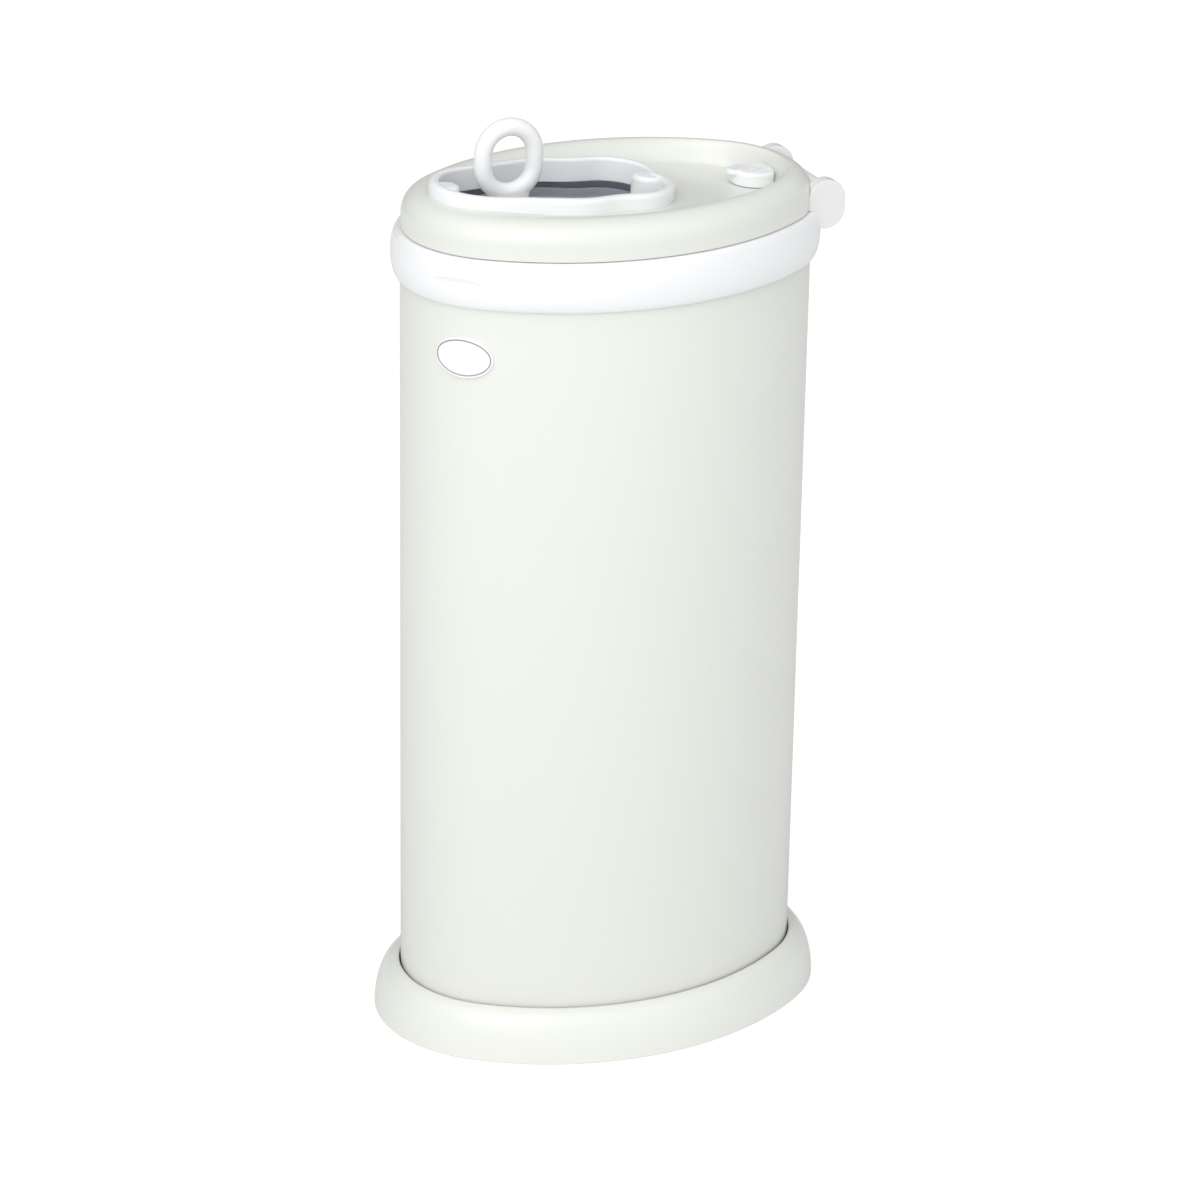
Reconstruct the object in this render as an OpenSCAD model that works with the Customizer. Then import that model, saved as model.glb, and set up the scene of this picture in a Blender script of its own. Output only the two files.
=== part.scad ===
// Nappy bin: a tall oval steel body on a flared foot, with a white collar band,
// a hinged lid that holds a sliding door with a finger ring, and a turning lock knob.
// Millimetres. +Z up, origin on the floor under the middle of the oval, front towards -Y.

/* [Oval plan] */
// Half length of the body oval, along Y
half_length = 124; // [115:1:135]
// Half width of the body oval, along X
half_width = 84; // [80:1:90]

/* [Heights] */
// Height of the plane where the lid meets the collar band
parting_height = 500; // [420:5:560]
// Height of the collar band
collar_height = 29; // [26:1:34]
// Height of the flared foot
foot_height = 31; // [26:1:36]

/* [Body] */
// Wall of the steel body
steel_wall = 1.2; // [0.8:0.1:1.6]
// How far the foot flares out beyond the body
foot_flare = 16; // [12:1:20]
// Wall of the flared foot
foot_wall = 2.2; // [1.8:0.1:2.6]
// How far the collar band bulges beyond the body
collar_bulge = 5.5; // [4:0.5:7]
// Depth of the grip lip on the collar band
grip_depth = 2.4; // [1.5:0.1:3]

/* [Badge] */
// Width of the blank oval badge
badge_width = 36; // [30:1:42]
// Height of the blank oval badge
badge_height = 24; // [20:1:26]
// Height of the middle of the badge above the floor
badge_z = 440.5; // [380:0.5:450]
// Angle of the badge and the grip round the front end arc
badge_turn = 43; // [0:1:45]

/* [Lid] */
// Height of the lid crest above the parting plane
lid_rise = 22; // [20:1:26]
// Radius of the rounded outer edge of the lid
lid_round = 13.7; // [11:0.1:14]
// Depth of the sunken middle of the lid below its crest
lid_dish = 8; // [6:0.5:9]
// Wall of the lid shell
lid_wall = 1.6; // [1.4:0.1:1.8]
// Slope of the sunken floor and the door down towards the hinge, in degrees
floor_slope = 3.6; // [3:0.1:4]

/* [Opening] */
// Height of the opening rim above the sunken lid floor
rim_height = 9; // [8:0.5:10]
// Width of the opening rim
rim_width = 6; // [5:0.5:7]

/* [Door] */
// Distance that the door slides back
door_travel = 60; // [50:1:60]
// Thickness of the door plate
door_wall = 2.5; // [2:0.1:3]
// Outer width of the finger ring
ring_width = 42; // [38:1:46]
// Thickness of the rod of the finger ring
ring_rod = 9.5; // [8:0.5:11]

/* [Lock] */
// Diameter of the lock knob
knob_diameter = 28; // [24:1:28]
// Height of the lock knob
knob_height = 8; // [6:0.5:9]

/* [Hinge] */
// Radius of the rounded hinge cheeks
ear_radius = 11.75; // [10:0.25:12]
// Diameter of the hinge pin
pin_diameter = 5; // [4:0.5:6]

/* [Hidden] */

// Resolution of round parts
fine = 96;
small = 40;

// Clearances and fits
seat_gap = 0.3;         // between bodies that rest on each other
slide_gap = 0.3;        // round the door glides and under the door
turn_fit = 0.05;        // radial running fit of pins and shafts
screw_fit = 0;          // screws are driven tight
overshoot = 1;          // how far a cutter stands past the face it cuts
arc_overlap = 0.02;     // how far arcs that blend run into each other, so that they join cleanly

// Oval geometry: four tangent arcs whose centres lie on a 3-4-5 triangle
oval_unit = (half_length - half_width) / 2;
end_offset = 3 * oval_unit;
side_offset = 4 * oval_unit;
end_radius = half_length - end_offset;
side_radius = half_width + side_offset;
seam_x = 4 / 5;
seam_y = 3 / 5;
sector_reach = 2 * half_length;

// Steel body and collar band
collar_z = parting_height - collar_height;
shell_bottom = 7;
shell_top = parting_height - 10;
collar_inner = 6;
collar_lip = 0.8;
collar_arc = 26;
ledge_depth = 9;
ledge_z = collar_z + 3;
ledge_wall = 2.5;
bag_ring_gap = 0.5;
bag_ring_outer = collar_inner + bag_ring_gap;
bag_ring_inner = 12;
bag_ring_height = 9;
bag_ring_wall = 2;

// Foot
collar_screw_z = collar_z + 10;
collar_screw_turn = 15;
collar_screw_length = collar_inner - 2.1;
foot_lip_radius = 1.4;
foot_lip_out = 2.2;
foot_edge_z = 1;
ledge_top = shell_bottom;
ledge_thick = 2;
foot_ledge_in = 10;
ring_pad_out = 12;
ring_pad_in = 6;
pan_wall = 1.2;
pan_flange = 9;
pan_gap = 0.2;

// Lid
lid_gap = 0.5;
lid_bottom = parting_height + seat_gap;
crest_z = parting_height + lid_rise;
crest_inset = lid_gap + lid_round;
floor_inset = 19.5;
floor_z = crest_z - lid_dish;
ceiling_z = floor_z - lid_wall;
plateau_extra = 3;
frame_outer = lid_gap + lid_wall + 0.4;
frame_inner = 9;
frame_top = parting_height + 6;
plug_outer = 7.2;
plug_inner = 8.8;
plug_depth = 7;
gasket_height = 1.6;
gasket_outer = 2.1;
gasket_inner = 4.9;

// Opening outline, made of tangent circles
front_radius = 34;
front_y = -74;
middle_radius = 45;
middle_y = -30;
lobe_radius = 29;
lobe_x = 10.5;
lobe_y = 4;
waist_radius = 30;
rim_z = floor_z + rim_height;
rim_round = 1.5;
rim_soft = 1;
neck_drop = 5;
neck_z = floor_z - neck_drop;
stop_radius = 10;
stop_y = 24;
stop_drop = 2;
front_stop_radius = 8;
front_stop_y = -101;

// Door and its rails
seal_out = 3;
seal_lip = 6.5;
seal_lip_height = 3.2;
seal_bottom = neck_z - seal_lip_height;
door_top = seal_bottom - slide_gap;
door_bottom = door_top - door_wall;
door_inset = 10;
door_half = 55;
tray_inset = 9.5;
tray_depth = 4;
tray_floor = door_top - tray_depth;
rail_half = 60;
glide_length = 12;
glide_reach = 2.5;
glide_height = 2;
glide_depth = 3;
glide_front = -50;
glide_back = -8;
rail_slot_wall = 2;
rail_x = door_half + glide_reach + slide_gap;
rail_floor = door_bottom + (door_wall - glide_height) / 2 - slide_gap;
rail_lip = 2;
rail_tab_in = 44.5;
rail_tab_start = 8;
rail_tab_end = 52;
rail_tab_wall = 1.5;
rail_screw_x = 49;
rail_screw_inset = 8;
rail_screw_bite = 1;

// Finger ring
ring_y = -62;
ring_hole_height = 28;
ring_top = 564;
ring_outer_r = ring_width / 2;
ring_bend = ring_outer_r - ring_rod / 2;
ring_rise = (ring_hole_height + ring_rod - 2 * ring_bend) / 2;
ring_upper_z = ring_top - ring_outer_r;
ring_lower_z = ring_upper_z - 2 * ring_rise;
neck_width = 26;
flange_width = 34;
flange_depth = 16;
flange_height = 3;
ring_base = tray_floor - ring_y * sin(floor_slope) + flange_height / 2;
ring_screw_y = 10;
ring_screw_length = 4.5;

// Lock
knob_y = 89.5;
knob_gap = 0.3;
knob_z = floor_z + knob_gap;
knob_wall = 2;
shaft_diameter = 6;
bush_diameter = 9;
bush_flange = 12;
bush_flange_wall = 0.8;
cam_length = 26;
cam_top = ceiling_z - 2;
cam_wall = 3;
cam_bottom = cam_top - cam_wall;
cam_screw_head = 1;

// Hinge
pivot_y = 122;
pivot_z = parting_height + 6;
ear_inner = 30.5;
ear_wall = 8;
ear_outer = ear_inner + ear_wall;
ear_drop = 6;
barrel_radius = 7.5;
barrel_half = 30;
hinge_clear = 0.6;
pin_radius = pin_diameter / 2;
bracket_half = 34;
bracket_back = 10;
bracket_low = collar_z + 18;
bracket_high = bracket_low + 5.5;
bracket_screw_x = 16;
bracket_screw_y = half_length - collar_inner - 2;
bracket_screw_z = bracket_low + 3;
bracket_screw_length = 13.2;
leaf_wall = 3;
leaf_half = 52;
leaf_front = 88;
leaf_back = 113;
leaf_outer = 3;
leaf_inner = 16;
arm_front = 108;
arm_half = 26;
leaf_screw_turn = 52;
leaf_screw_length = 5;

// Screws
screw_radius = 1.5;
head_radius = 2.8;
head_height = 1.8;
boss_radius = 3;
boss_height = 8;
frame_screw_inset = 5.5;
frame_screw_z = parting_height + seat_gap + gasket_height;
frame_screw_length = 9;

// ---------- oval helpers ----------

// Solid oval, drawn smaller by inset all round
module oval_plate(inset) {
  join_y = end_offset + (end_radius - inset) * seam_y;
  for (side = [-1, 1]) {
    translate([0, side * end_offset]) circle(r = end_radius - inset, $fn = fine * 2);
  }
  intersection() {
    translate([-side_offset, 0]) circle(r = side_radius - inset, $fn = fine * 4);
    translate([side_offset, 0]) circle(r = side_radius - inset, $fn = fine * 4);
    square([2 * half_width, 2 * join_y], center = true);
  }
}

// Ring between two insets of the oval
module oval_wall(outer, inner, height) {
  linear_extrude(height) difference() {
    oval_plate(outer);
    oval_plate(inner);
  }
}

// Plan of the part of the oval that each arc covers
module end_sector() {
  far_x = sector_reach * seam_x;
  far_y = end_offset + sector_reach * seam_y;
  polygon([[0, end_offset], [far_x, far_y], [-far_x, far_y]]);
}

module side_sector() {
  far_x = sector_reach * seam_x;
  far_y = end_offset + sector_reach * seam_y;
  polygon([[0, -end_offset], [far_x, -far_y], [far_x, far_y], [0, end_offset]]);
}

// Carries a flat profile round the oval. Profile x is the distance outside the oval.
module oval_sweep() {
  for (side = [0, 180]) {
    rotate([0, 0, side]) intersection() {
      translate([0, end_offset, 0]) rotate_extrude($fn = fine * 2)
        translate([end_radius, 0]) children();
      linear_extrude(2 * parting_height) end_sector();
    }
    rotate([0, 0, side]) intersection() {
      translate([-side_offset, 0, 0]) rotate_extrude($fn = fine * 4)
        translate([side_radius, 0]) children();
      linear_extrude(2 * parting_height) side_sector();
    }
  }
}

// A point on the end arc at an angle from the Y axis, drawn in by inset
function end_point(turn, inset, side) =
  [(end_radius - inset) * sin(turn), side * (end_offset + (end_radius - inset) * cos(turn))];

// Places children upright at the six fixing points of the lid or collar
module round_places(inset) {
  for (sx = [-1, 1]) {
    for (sy = [-1, 1]) {
      place = end_point(sy > 0 ? 44 : 48, inset, sy);
      translate([sx * place[0], place[1], 0]) children();
    }
    translate([sx * (half_width - inset), 0, 0]) children();
  }
}

// Places children upright at the four fixing points of the foot
module foot_places(inset) {
  for (sx = [-1, 1]) {
    for (sy = [-1, 1]) {
      place = end_point(35, inset, sy);
      translate([sx * place[0], place[1], 0]) children();
    }
  }
}

// Turns children so that +Z points out of the front arc at the badge angle
module face_places(height) {
  translate([0, -end_offset, height]) rotate([0, 0, badge_turn]) rotate([90, 0, 0]) children();
}

// Turns children so that +Z points out through the collar from its inner wall
module collar_places() {
  for (side = [0, 180]) {
    for (turn = [-collar_screw_turn, collar_screw_turn]) {
      rotate([0, 0, side]) translate([-side_offset, 0, collar_screw_z]) rotate([0, 0, turn])
        translate([side_radius - collar_inner, 0, 0]) rotate([0, 90, 0]) children();
    }
  }
  translate([0, collar_inner - half_length, collar_screw_z]) rotate([90, 0, 0]) children();
}

// Tilts children with the sunken floor of the lid
module sloped() {
  translate([0, 0, floor_z]) rotate([-floor_slope, 0, 0]) translate([0, 0, -floor_z]) children();
}

// One hinge cheek, a stadium seen from the side, grown by grow
module cheek(grow) {
  radius = ear_radius + grow;
  for (drop = [0, ear_drop]) {
    translate([0, pivot_y, pivot_z - drop]) bar(radius, ear_wall / 2 + grow);
  }
  translate([0, pivot_y, pivot_z - ear_drop / 2])
    cube([ear_wall + 2 * grow, 2 * (radius - arc_overlap), ear_drop], center = true);
}

module cheeks(grow) {
  for (side = [-1, 1]) {
    translate([side * (ear_inner + ear_wall / 2), 0, 0]) cheek(grow);
  }
}

// Room for the hinge barrel in a piece beside it
module barrel_space() {
  translate([0, pivot_y, pivot_z]) bar(barrel_radius + hinge_clear, barrel_half + hinge_clear);
}

// Room for the hinge in a lid piece
module lid_hinge_space() {
  reach = barrel_radius + hinge_clear - arc_overlap;
  half = barrel_half + hinge_clear;
  barrel_space();
  cheeks(hinge_clear);
  translate([-half, pivot_y - reach, parting_height])
    cube([2 * half, 2 * reach, pivot_z - parting_height]);
}

// Screw with its head at the bottom and its shank upwards
module screw(length) {
  cylinder(r = head_radius, h = head_height, $fn = small);
  cylinder(r = screw_radius, h = head_height + length, $fn = small);
}

// Space for such a screw
module screw_space(length, gap) {
  cylinder(r = head_radius + gap, h = head_height, $fn = small);
  cylinder(r = screw_radius + screw_fit, h = head_height + length, $fn = small);
}

// Bar along X
module bar(radius, half) {
  rotate([0, 90, 0]) cylinder(r = radius, h = 2 * half, center = true, $fn = fine);
}

// ---------- opening outline ----------

waist_reach_a = middle_radius + waist_radius;
waist_reach_b = lobe_radius + waist_radius;
lobe_span = sqrt(lobe_x * lobe_x + (lobe_y - middle_y) * (lobe_y - middle_y));
lobe_dir = [lobe_x / lobe_span, (lobe_y - middle_y) / lobe_span];
waist_along = (waist_reach_a * waist_reach_a - waist_reach_b * waist_reach_b
               + lobe_span * lobe_span) / (2 * lobe_span);
waist_across = sqrt(waist_reach_a * waist_reach_a - waist_along * waist_along);
waist_x = waist_along * lobe_dir[0] + waist_across * lobe_dir[1];
waist_y = middle_y + waist_along * lobe_dir[1] - waist_across * lobe_dir[0];
taper_turn = asin((front_radius - middle_radius) / (middle_y - front_y));

// Outline of the opening, grown outwards by grow
module opening(grow) {
  rf = front_radius + grow - arc_overlap;
  rm = middle_radius + grow - arc_overlap;
  translate([0, front_y]) circle(r = front_radius + grow, $fn = fine * 2);
  polygon([
    [rf * cos(taper_turn), front_y + rf * sin(taper_turn)],
    [rm * cos(taper_turn), middle_y + rm * sin(taper_turn)],
    [-rm * cos(taper_turn), middle_y + rm * sin(taper_turn)],
    [-rf * cos(taper_turn), front_y + rf * sin(taper_turn)]
  ]);
  translate([0, middle_y]) circle(r = middle_radius + grow, $fn = fine * 2);
  for (side = [-1, 1]) {
    translate([side * lobe_x, lobe_y]) circle(r = lobe_radius + grow, $fn = fine);
    difference() {
      polygon([
        [0, middle_y],
        [side * waist_x, waist_y],
        [side * lobe_x, lobe_y],
        [0, lobe_y]
      ]);
      translate([side * waist_x, waist_y])
        circle(r = waist_radius - grow + arc_overlap, $fn = fine);
    }
  }
}

// Upright wall that follows the opening
module opening_wall(outer, inner, height) {
  linear_extrude(height) difference() {
    opening(outer);
    opening(inner);
  }
}

// ---------- bin body ----------

module body_shell() {
  color("ivory") difference() {
    translate([0, 0, shell_bottom]) oval_wall(0, steel_wall, shell_top - shell_bottom);
    collar_places() screw_space(collar_screw_length + overshoot, 0);
  }
}

// Outer face of the foot at a fraction of its height
function foot_point(part, wall) =
  [foot_lip_out - wall + (foot_flare - foot_lip_out) * sin(90 * part),
   foot_edge_z + (foot_height - foot_lip_radius - foot_edge_z - wall) * cos(90 * part)];

module foot_profile() {
  steps = 14;
  polygon(concat(
    [for (i = [0 : steps]) foot_point(i / steps, 0)],
    [for (i = [steps : -1 : 0]) foot_point(i / steps, foot_wall)]
  ));
  translate([foot_lip_out, foot_height - foot_lip_radius]) circle(r = foot_lip_radius, $fn = small);
  translate([-foot_ledge_in, ledge_top - ledge_thick])
    square([foot_ledge_in + foot_flare - foot_wall, ledge_thick]);
}

module foot_skirt() {
  color("ivory") difference() {
    oval_sweep() foot_profile();
    foot_places(frame_screw_inset) translate([0, 0, ledge_top - ledge_thick - head_height])
      screw_space(foot_height, 0);
  }
}

module foot_ring() {
  color("dimgray") oval_sweep()
    translate([ring_pad_in, 0]) square([ring_pad_out - ring_pad_in, ledge_top - ledge_thick]);
}

module floor_pan() {
  color("gainsboro") difference() {
    union() {
      translate([0, 0, ledge_top]) linear_extrude(pan_wall) oval_plate(steel_wall + pan_gap);
      translate([0, 0, ledge_top])
        oval_wall(steel_wall + pan_gap, steel_wall + pan_gap + pan_wall, pan_flange);
    }
    foot_places(frame_screw_inset) translate([0, 0, ledge_top - ledge_thick - head_height])
      screw_space(foot_height, 0);
  }
}

module floor_screws() {
  color("silver") foot_places(frame_screw_inset)
    translate([0, 0, ledge_top - ledge_thick - head_height]) screw(ledge_thick + pan_wall + 1.5);
}

// Outer bulge of the band, as an arc through its edges
module collar_profile(extra) {
  bulge = collar_bulge + extra;
  rise = collar_height / 2;
  depth = bulge - collar_lip;
  arc = (rise * rise + depth * depth) / (2 * depth);
  difference() {
    union() {
      intersection() {
        translate([bulge - arc, collar_z + rise]) circle(r = arc, $fn = fine * 4);
        translate([0, collar_z]) square([bulge + overshoot, collar_height]);
      }
      translate([-collar_inner, collar_z]) square([collar_inner, collar_height]);
      translate([-ledge_depth, ledge_z]) square([ledge_depth, ledge_wall]);
    }
    translate([-steel_wall, collar_z - overshoot])
      square([steel_wall, shell_top - collar_z + overshoot]);
  }
}

// Crescent that lifts the lower edge of the band into a finger grip
module grip_shape() {
  outer = 26;
  inner = 34;
  depth = 6;
  face_places(collar_z) linear_extrude(end_radius + collar_bulge + grip_depth + 8)
    intersection() {
      translate([0, outer + depth / 2]) circle(r = outer, $fn = fine);
      translate([0, -inner + depth + 6]) circle(r = inner, $fn = fine);
    }
}

module collar() {
  color("white") difference() {
    union() {
      oval_sweep() collar_profile(0);
      intersection() {
        oval_sweep() translate([collar_lip, 0]) intersection() {
          collar_profile(grip_depth);
          translate([0, collar_z]) square([3 * collar_bulge, collar_height]);
        }
        grip_shape();
      }
    }
    barrel_space();
    collar_places() screw_space(collar_screw_length, 0);
    bracket_holes();
  }
}

module collar_screws() {
  color("silver") collar_places() screw(collar_screw_length);
}

module bag_ring() {
  color("whitesmoke") oval_sweep() union() {
    translate([-bag_ring_outer - bag_ring_wall, ledge_z + ledge_wall])
      square([bag_ring_wall, bag_ring_height]);
    translate([-bag_ring_inner, ledge_z + ledge_wall])
      square([bag_ring_inner - bag_ring_outer, bag_ring_wall]);
  }
}

// Face of the badge, drawn smaller by inset all round
module badge_plan(inset) {
  width = badge_width - 2 * inset;
  height = badge_height - 2 * inset;
  scale([width / height, 1]) circle(d = height, $fn = fine);
}

module badge() {
  plate = 1.2;
  rim = 0.5;
  edge = 1.2;
  color("white") {
    intersection() {
      oval_sweep() translate([0, badge_z - badge_height]) square([plate, 2 * badge_height]);
      face_places(badge_z) linear_extrude(end_radius * 2) badge_plan(0);
    }
    intersection() {
      oval_sweep() translate([0, badge_z - badge_height])
        square([plate + rim, 2 * badge_height]);
      face_places(badge_z) linear_extrude(end_radius * 2) difference() {
        badge_plan(0);
        badge_plan(edge);
      }
    }
  }
}

// ---------- hinge ----------

module hinge_bracket() {
  color("white") difference() {
    union() {
      cheeks(0);
      translate([-bracket_half, pivot_y, bracket_low])
        cube([2 * bracket_half, bracket_back, bracket_high - bracket_low]);
    }
    oval_sweep() collar_profile(0);
    linear_extrude(parting_height) oval_plate(-collar_lip / 2);
    translate([0, pivot_y, pivot_z]) bar(pin_radius + turn_fit, half_width);
    bracket_holes();
  }
}

// Places children at the bracket screws, +Z out through the collar
module bracket_places() {
  for (side = [-1, 1]) {
    translate([side * bracket_screw_x, bracket_screw_y, bracket_screw_z])
      rotate([-90, 0, 0]) children();
  }
}

module bracket_holes() {
  bracket_places() screw_space(bracket_screw_length, 0);
}

module bracket_screws() {
  color("silver") bracket_places() screw(bracket_screw_length);
}

module hinge_pin() {
  color("silver") translate([0, pivot_y, pivot_z]) bar(pin_radius, ear_outer - 1);
}

module hinge_leaf() {
  color("white") difference() {
    union() {
      translate([0, pivot_y, pivot_z]) bar(barrel_radius, barrel_half);
      translate([-arm_half, arm_front, frame_top])
        cube([2 * arm_half, pivot_y - arm_front, leaf_wall]);
      translate([0, 0, frame_top]) linear_extrude(leaf_wall) intersection() {
        difference() {
          oval_plate(leaf_outer);
          oval_plate(leaf_inner);
        }
        translate([-leaf_half, leaf_front]) square([2 * leaf_half, leaf_back - leaf_front]);
      }
    }
    cheeks(hinge_clear);
    translate([0, pivot_y, pivot_z]) bar(pin_radius + turn_fit, half_width);
    leaf_places() screw_space(leaf_screw_length, 0);
    round_places(frame_screw_inset) translate([0, 0, frame_top - overshoot])
      cylinder(r = boss_radius + pan_gap, h = boss_height, $fn = small);
  }
}

module leaf_places() {
  place = end_point(leaf_screw_turn, frame_screw_inset, 1);
  for (side = [-1, 1]) {
    translate([side * place[0], place[1], frame_screw_z]) children();
  }
}

module leaf_screws() {
  color("silver") leaf_places() screw(leaf_screw_length);
}

// ---------- lid ----------

// Skirt, rounded edge and flat crest of the lid
module lid_profile() {
  skirt_top = crest_z - lid_round;
  intersection() {
    difference() {
      translate([-crest_inset, skirt_top]) circle(r = lid_round, $fn = fine);
      translate([-crest_inset, skirt_top]) circle(r = lid_round - lid_wall, $fn = fine);
    }
    translate([-crest_inset, skirt_top]) square([lid_round, lid_round]);
  }
  translate([-lid_gap - lid_wall, lid_bottom]) square([lid_wall, skirt_top - lid_bottom]);
  translate([-floor_inset - plateau_extra, crest_z - lid_wall])
    square([floor_inset + plateau_extra - crest_inset, lid_wall]);
}

// Sunken floor of the lid with the wall round it
module lid_floor() {
  sloped() translate([0, 0, ceiling_z]) linear_extrude(lid_wall) oval_plate(floor_inset - lid_wall);
  intersection() {
    sloped() translate([0, 0, ceiling_z])
      oval_wall(floor_inset - lid_wall, floor_inset, 2 * lid_rise);
    linear_extrude(crest_z) oval_plate(crest_inset);
  }
}

module lid_shell() {
  color("ivory") difference() {
    union() {
      oval_sweep() lid_profile();
      lid_floor();
      round_places(frame_screw_inset) translate([0, 0, frame_top])
        cylinder(r = boss_radius, h = boss_height, $fn = small);
    }
    sloped() translate([0, 0, floor_z]) linear_extrude(2 * lid_rise) oval_plate(floor_inset);
    sloped() translate([0, 0, ceiling_z - overshoot]) linear_extrude(2 * lid_rise) opening(0);
    round_places(frame_screw_inset) translate([0, 0, frame_screw_z])
      screw_space(frame_screw_length, 0);
    sloped() translate([0, knob_y, ceiling_z - overshoot])
      cylinder(d = bush_diameter, h = lid_wall + 2 * overshoot, $fn = small);
    lid_hinge_space();
    sloped() rail_places() cylinder(r = screw_radius, h = rail_screw_bite, $fn = small);
  }
}

module lid_frame() {
  color("white") difference() {
    union() {
      translate([0, 0, frame_screw_z])
        oval_wall(frame_outer, frame_inner, frame_top - frame_screw_z);
      translate([0, 0, parting_height - plug_depth])
        oval_wall(plug_outer, plug_inner, frame_screw_z + plug_depth - parting_height);
    }
    round_places(frame_screw_inset) translate([0, 0, frame_screw_z])
      screw_space(frame_screw_length, 0);
    leaf_places() screw_space(leaf_screw_length, 0);
    lid_hinge_space();
  }
}

module frame_screws() {
  color("silver") round_places(frame_screw_inset) translate([0, 0, frame_screw_z])
    screw(frame_screw_length);
}

module lid_gasket() {
  color("dimgray") difference() {
    translate([0, 0, lid_bottom]) oval_wall(gasket_outer, gasket_inner, gasket_height);
    lid_hinge_space();
    translate([-ear_inner, pivot_y - ear_radius, lid_bottom - overshoot])
      cube([2 * ear_inner, 2 * ear_radius, gasket_height + 2 * overshoot]);
  }
}

module opening_bezel() {
  color("white") sloped() union() {
    translate([0, 0, neck_z]) opening_wall(0, -rim_width, rim_z - rim_round - neck_z);
    translate([0, 0, rim_z - rim_round])
      opening_wall(-rim_soft, rim_soft - rim_width, rim_round);
    intersection() {
      translate([0, 0, neck_z]) linear_extrude(rim_z - stop_drop - neck_z) opening(-rim_soft);
      union() {
        translate([0, stop_y, neck_z]) cylinder(r = stop_radius, h = lid_rise, $fn = fine);
        translate([0, front_stop_y, neck_z])
          cylinder(r = front_stop_radius, h = lid_rise, $fn = fine);
      }
    }
  }
}

module opening_seal() {
  color("slategray") sloped() union() {
    translate([0, 0, seal_bottom]) opening_wall(seal_out, 0, ceiling_z - seal_bottom);
    translate([0, 0, seal_bottom]) opening_wall(overshoot, -seal_lip, seal_lip_height);
  }
}

// Places children on the underside of the lid, where the rails are screwed on
module rail_places() {
  for (sx = [-1, 1]) {
    for (y = [rail_tab_start + rail_screw_inset, rail_tab_end - rail_screw_inset]) {
      translate([sx * rail_screw_x, y, ceiling_z]) children();
    }
  }
}

module rail(side) {
  slot_top = rail_floor + glide_height + 2 * slide_gap;
  difference() {
    union() {
      translate([side * (rail_x + rail_slot_wall / 2), 0, 0])
        translate([-rail_slot_wall / 2, -rail_half, rail_floor - rail_lip])
          cube([rail_slot_wall, 2 * rail_half, slot_top - rail_floor + 2 * rail_lip]);
      for (z = [rail_floor - rail_lip, slot_top]) {
        translate([side * (rail_x - glide_reach / 2) - glide_reach / 2, -rail_half, z])
          cube([glide_reach, 2 * rail_half, rail_lip]);
      }
      translate([side * (rail_tab_in + rail_x) / 2, (rail_tab_start + rail_tab_end) / 2, 0])
        translate([-(rail_x - rail_tab_in) / 2, -(rail_tab_end - rail_tab_start) / 2,
                   ceiling_z - rail_tab_wall])
          cube([rail_x - rail_tab_in, rail_tab_end - rail_tab_start, rail_tab_wall]);
      translate([side * (rail_x + rail_slot_wall / 2) - rail_slot_wall / 2,
                 rail_tab_start, slot_top])
        cube([rail_slot_wall, rail_tab_end - rail_tab_start, ceiling_z - slot_top]);
    }
    rail_places() translate([0, 0, -head_height - rail_tab_wall])
      screw_space(rail_tab_wall + rail_screw_bite, 0);
  }
}

module rail_left() {
  color("whitesmoke") sloped() rail(-1);
}

module rail_right() {
  color("whitesmoke") sloped() rail(1);
}

module rail_screws() {
  color("silver") sloped() rail_places() translate([0, 0, -head_height - rail_tab_wall])
    screw(rail_tab_wall + rail_screw_bite);
}

module knob_bushing() {
  color("gainsboro") sloped() translate([0, knob_y, 0]) difference() {
    union() {
      translate([0, 0, ceiling_z]) cylinder(d = bush_diameter, h = lid_wall, $fn = small);
      translate([0, 0, ceiling_z - bush_flange_wall])
        cylinder(d = bush_flange, h = bush_flange_wall, $fn = small);
    }
    translate([0, 0, ceiling_z - bush_flange_wall - overshoot])
      cylinder(r = shaft_diameter / 2 + turn_fit, h = lid_wall + 4 * overshoot, $fn = small);
  }
}

// ---------- door ----------

module door_plan(inset) {
  intersection() {
    oval_plate(door_inset + inset);
    translate([0, -door_travel]) oval_plate(door_inset + inset);
    square([2 * (door_half - inset), 4 * half_length], center = true);
  }
}

module sliding_door() {
  color("slategray") sloped() difference() {
    union() {
      translate([0, 0, door_bottom]) linear_extrude(door_wall) door_plan(0);
      translate([0, 0, tray_floor - door_wall]) linear_extrude(door_wall + tray_depth - door_wall)
        opening(-tray_inset + door_wall);
    }
    translate([0, 0, tray_floor]) linear_extrude(tray_depth + overshoot) opening(-tray_inset);
    glide_places() translate([-glide_depth, -glide_length / 2, 0])
      cube([glide_depth, glide_length, glide_height]);
    ring_screw_places() screw_space(ring_screw_length, 0);
  }
}

// Places children at the four door edges, +X outwards
module glide_places() {
  for (side = [0, 1]) {
    for (y = [glide_front, glide_back]) {
      translate([0, y, door_bottom + (door_wall - glide_height) / 2]) mirror([side, 0, 0])
        translate([door_half, 0, 0]) children();
    }
  }
}

module door_glides() {
  color("white") sloped() glide_places() translate([-glide_depth, -glide_length / 2, 0])
    cube([glide_depth + glide_reach, glide_length, glide_height]);
}

module ring_screw_places() {
  for (side = [-1, 1]) {
    translate([0, ring_y + side * ring_screw_y, tray_floor - door_wall - head_height + 1])
      children();
  }
}

// Half ring of the finger loop, above or below its middle
module ring_half(turn) {
  rotate([0, 90, 0]) rotate([0, 0, turn]) rotate_extrude(angle = 180, $fn = fine)
    translate([ring_bend, 0]) circle(d = ring_rod, $fn = small);
}

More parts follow.
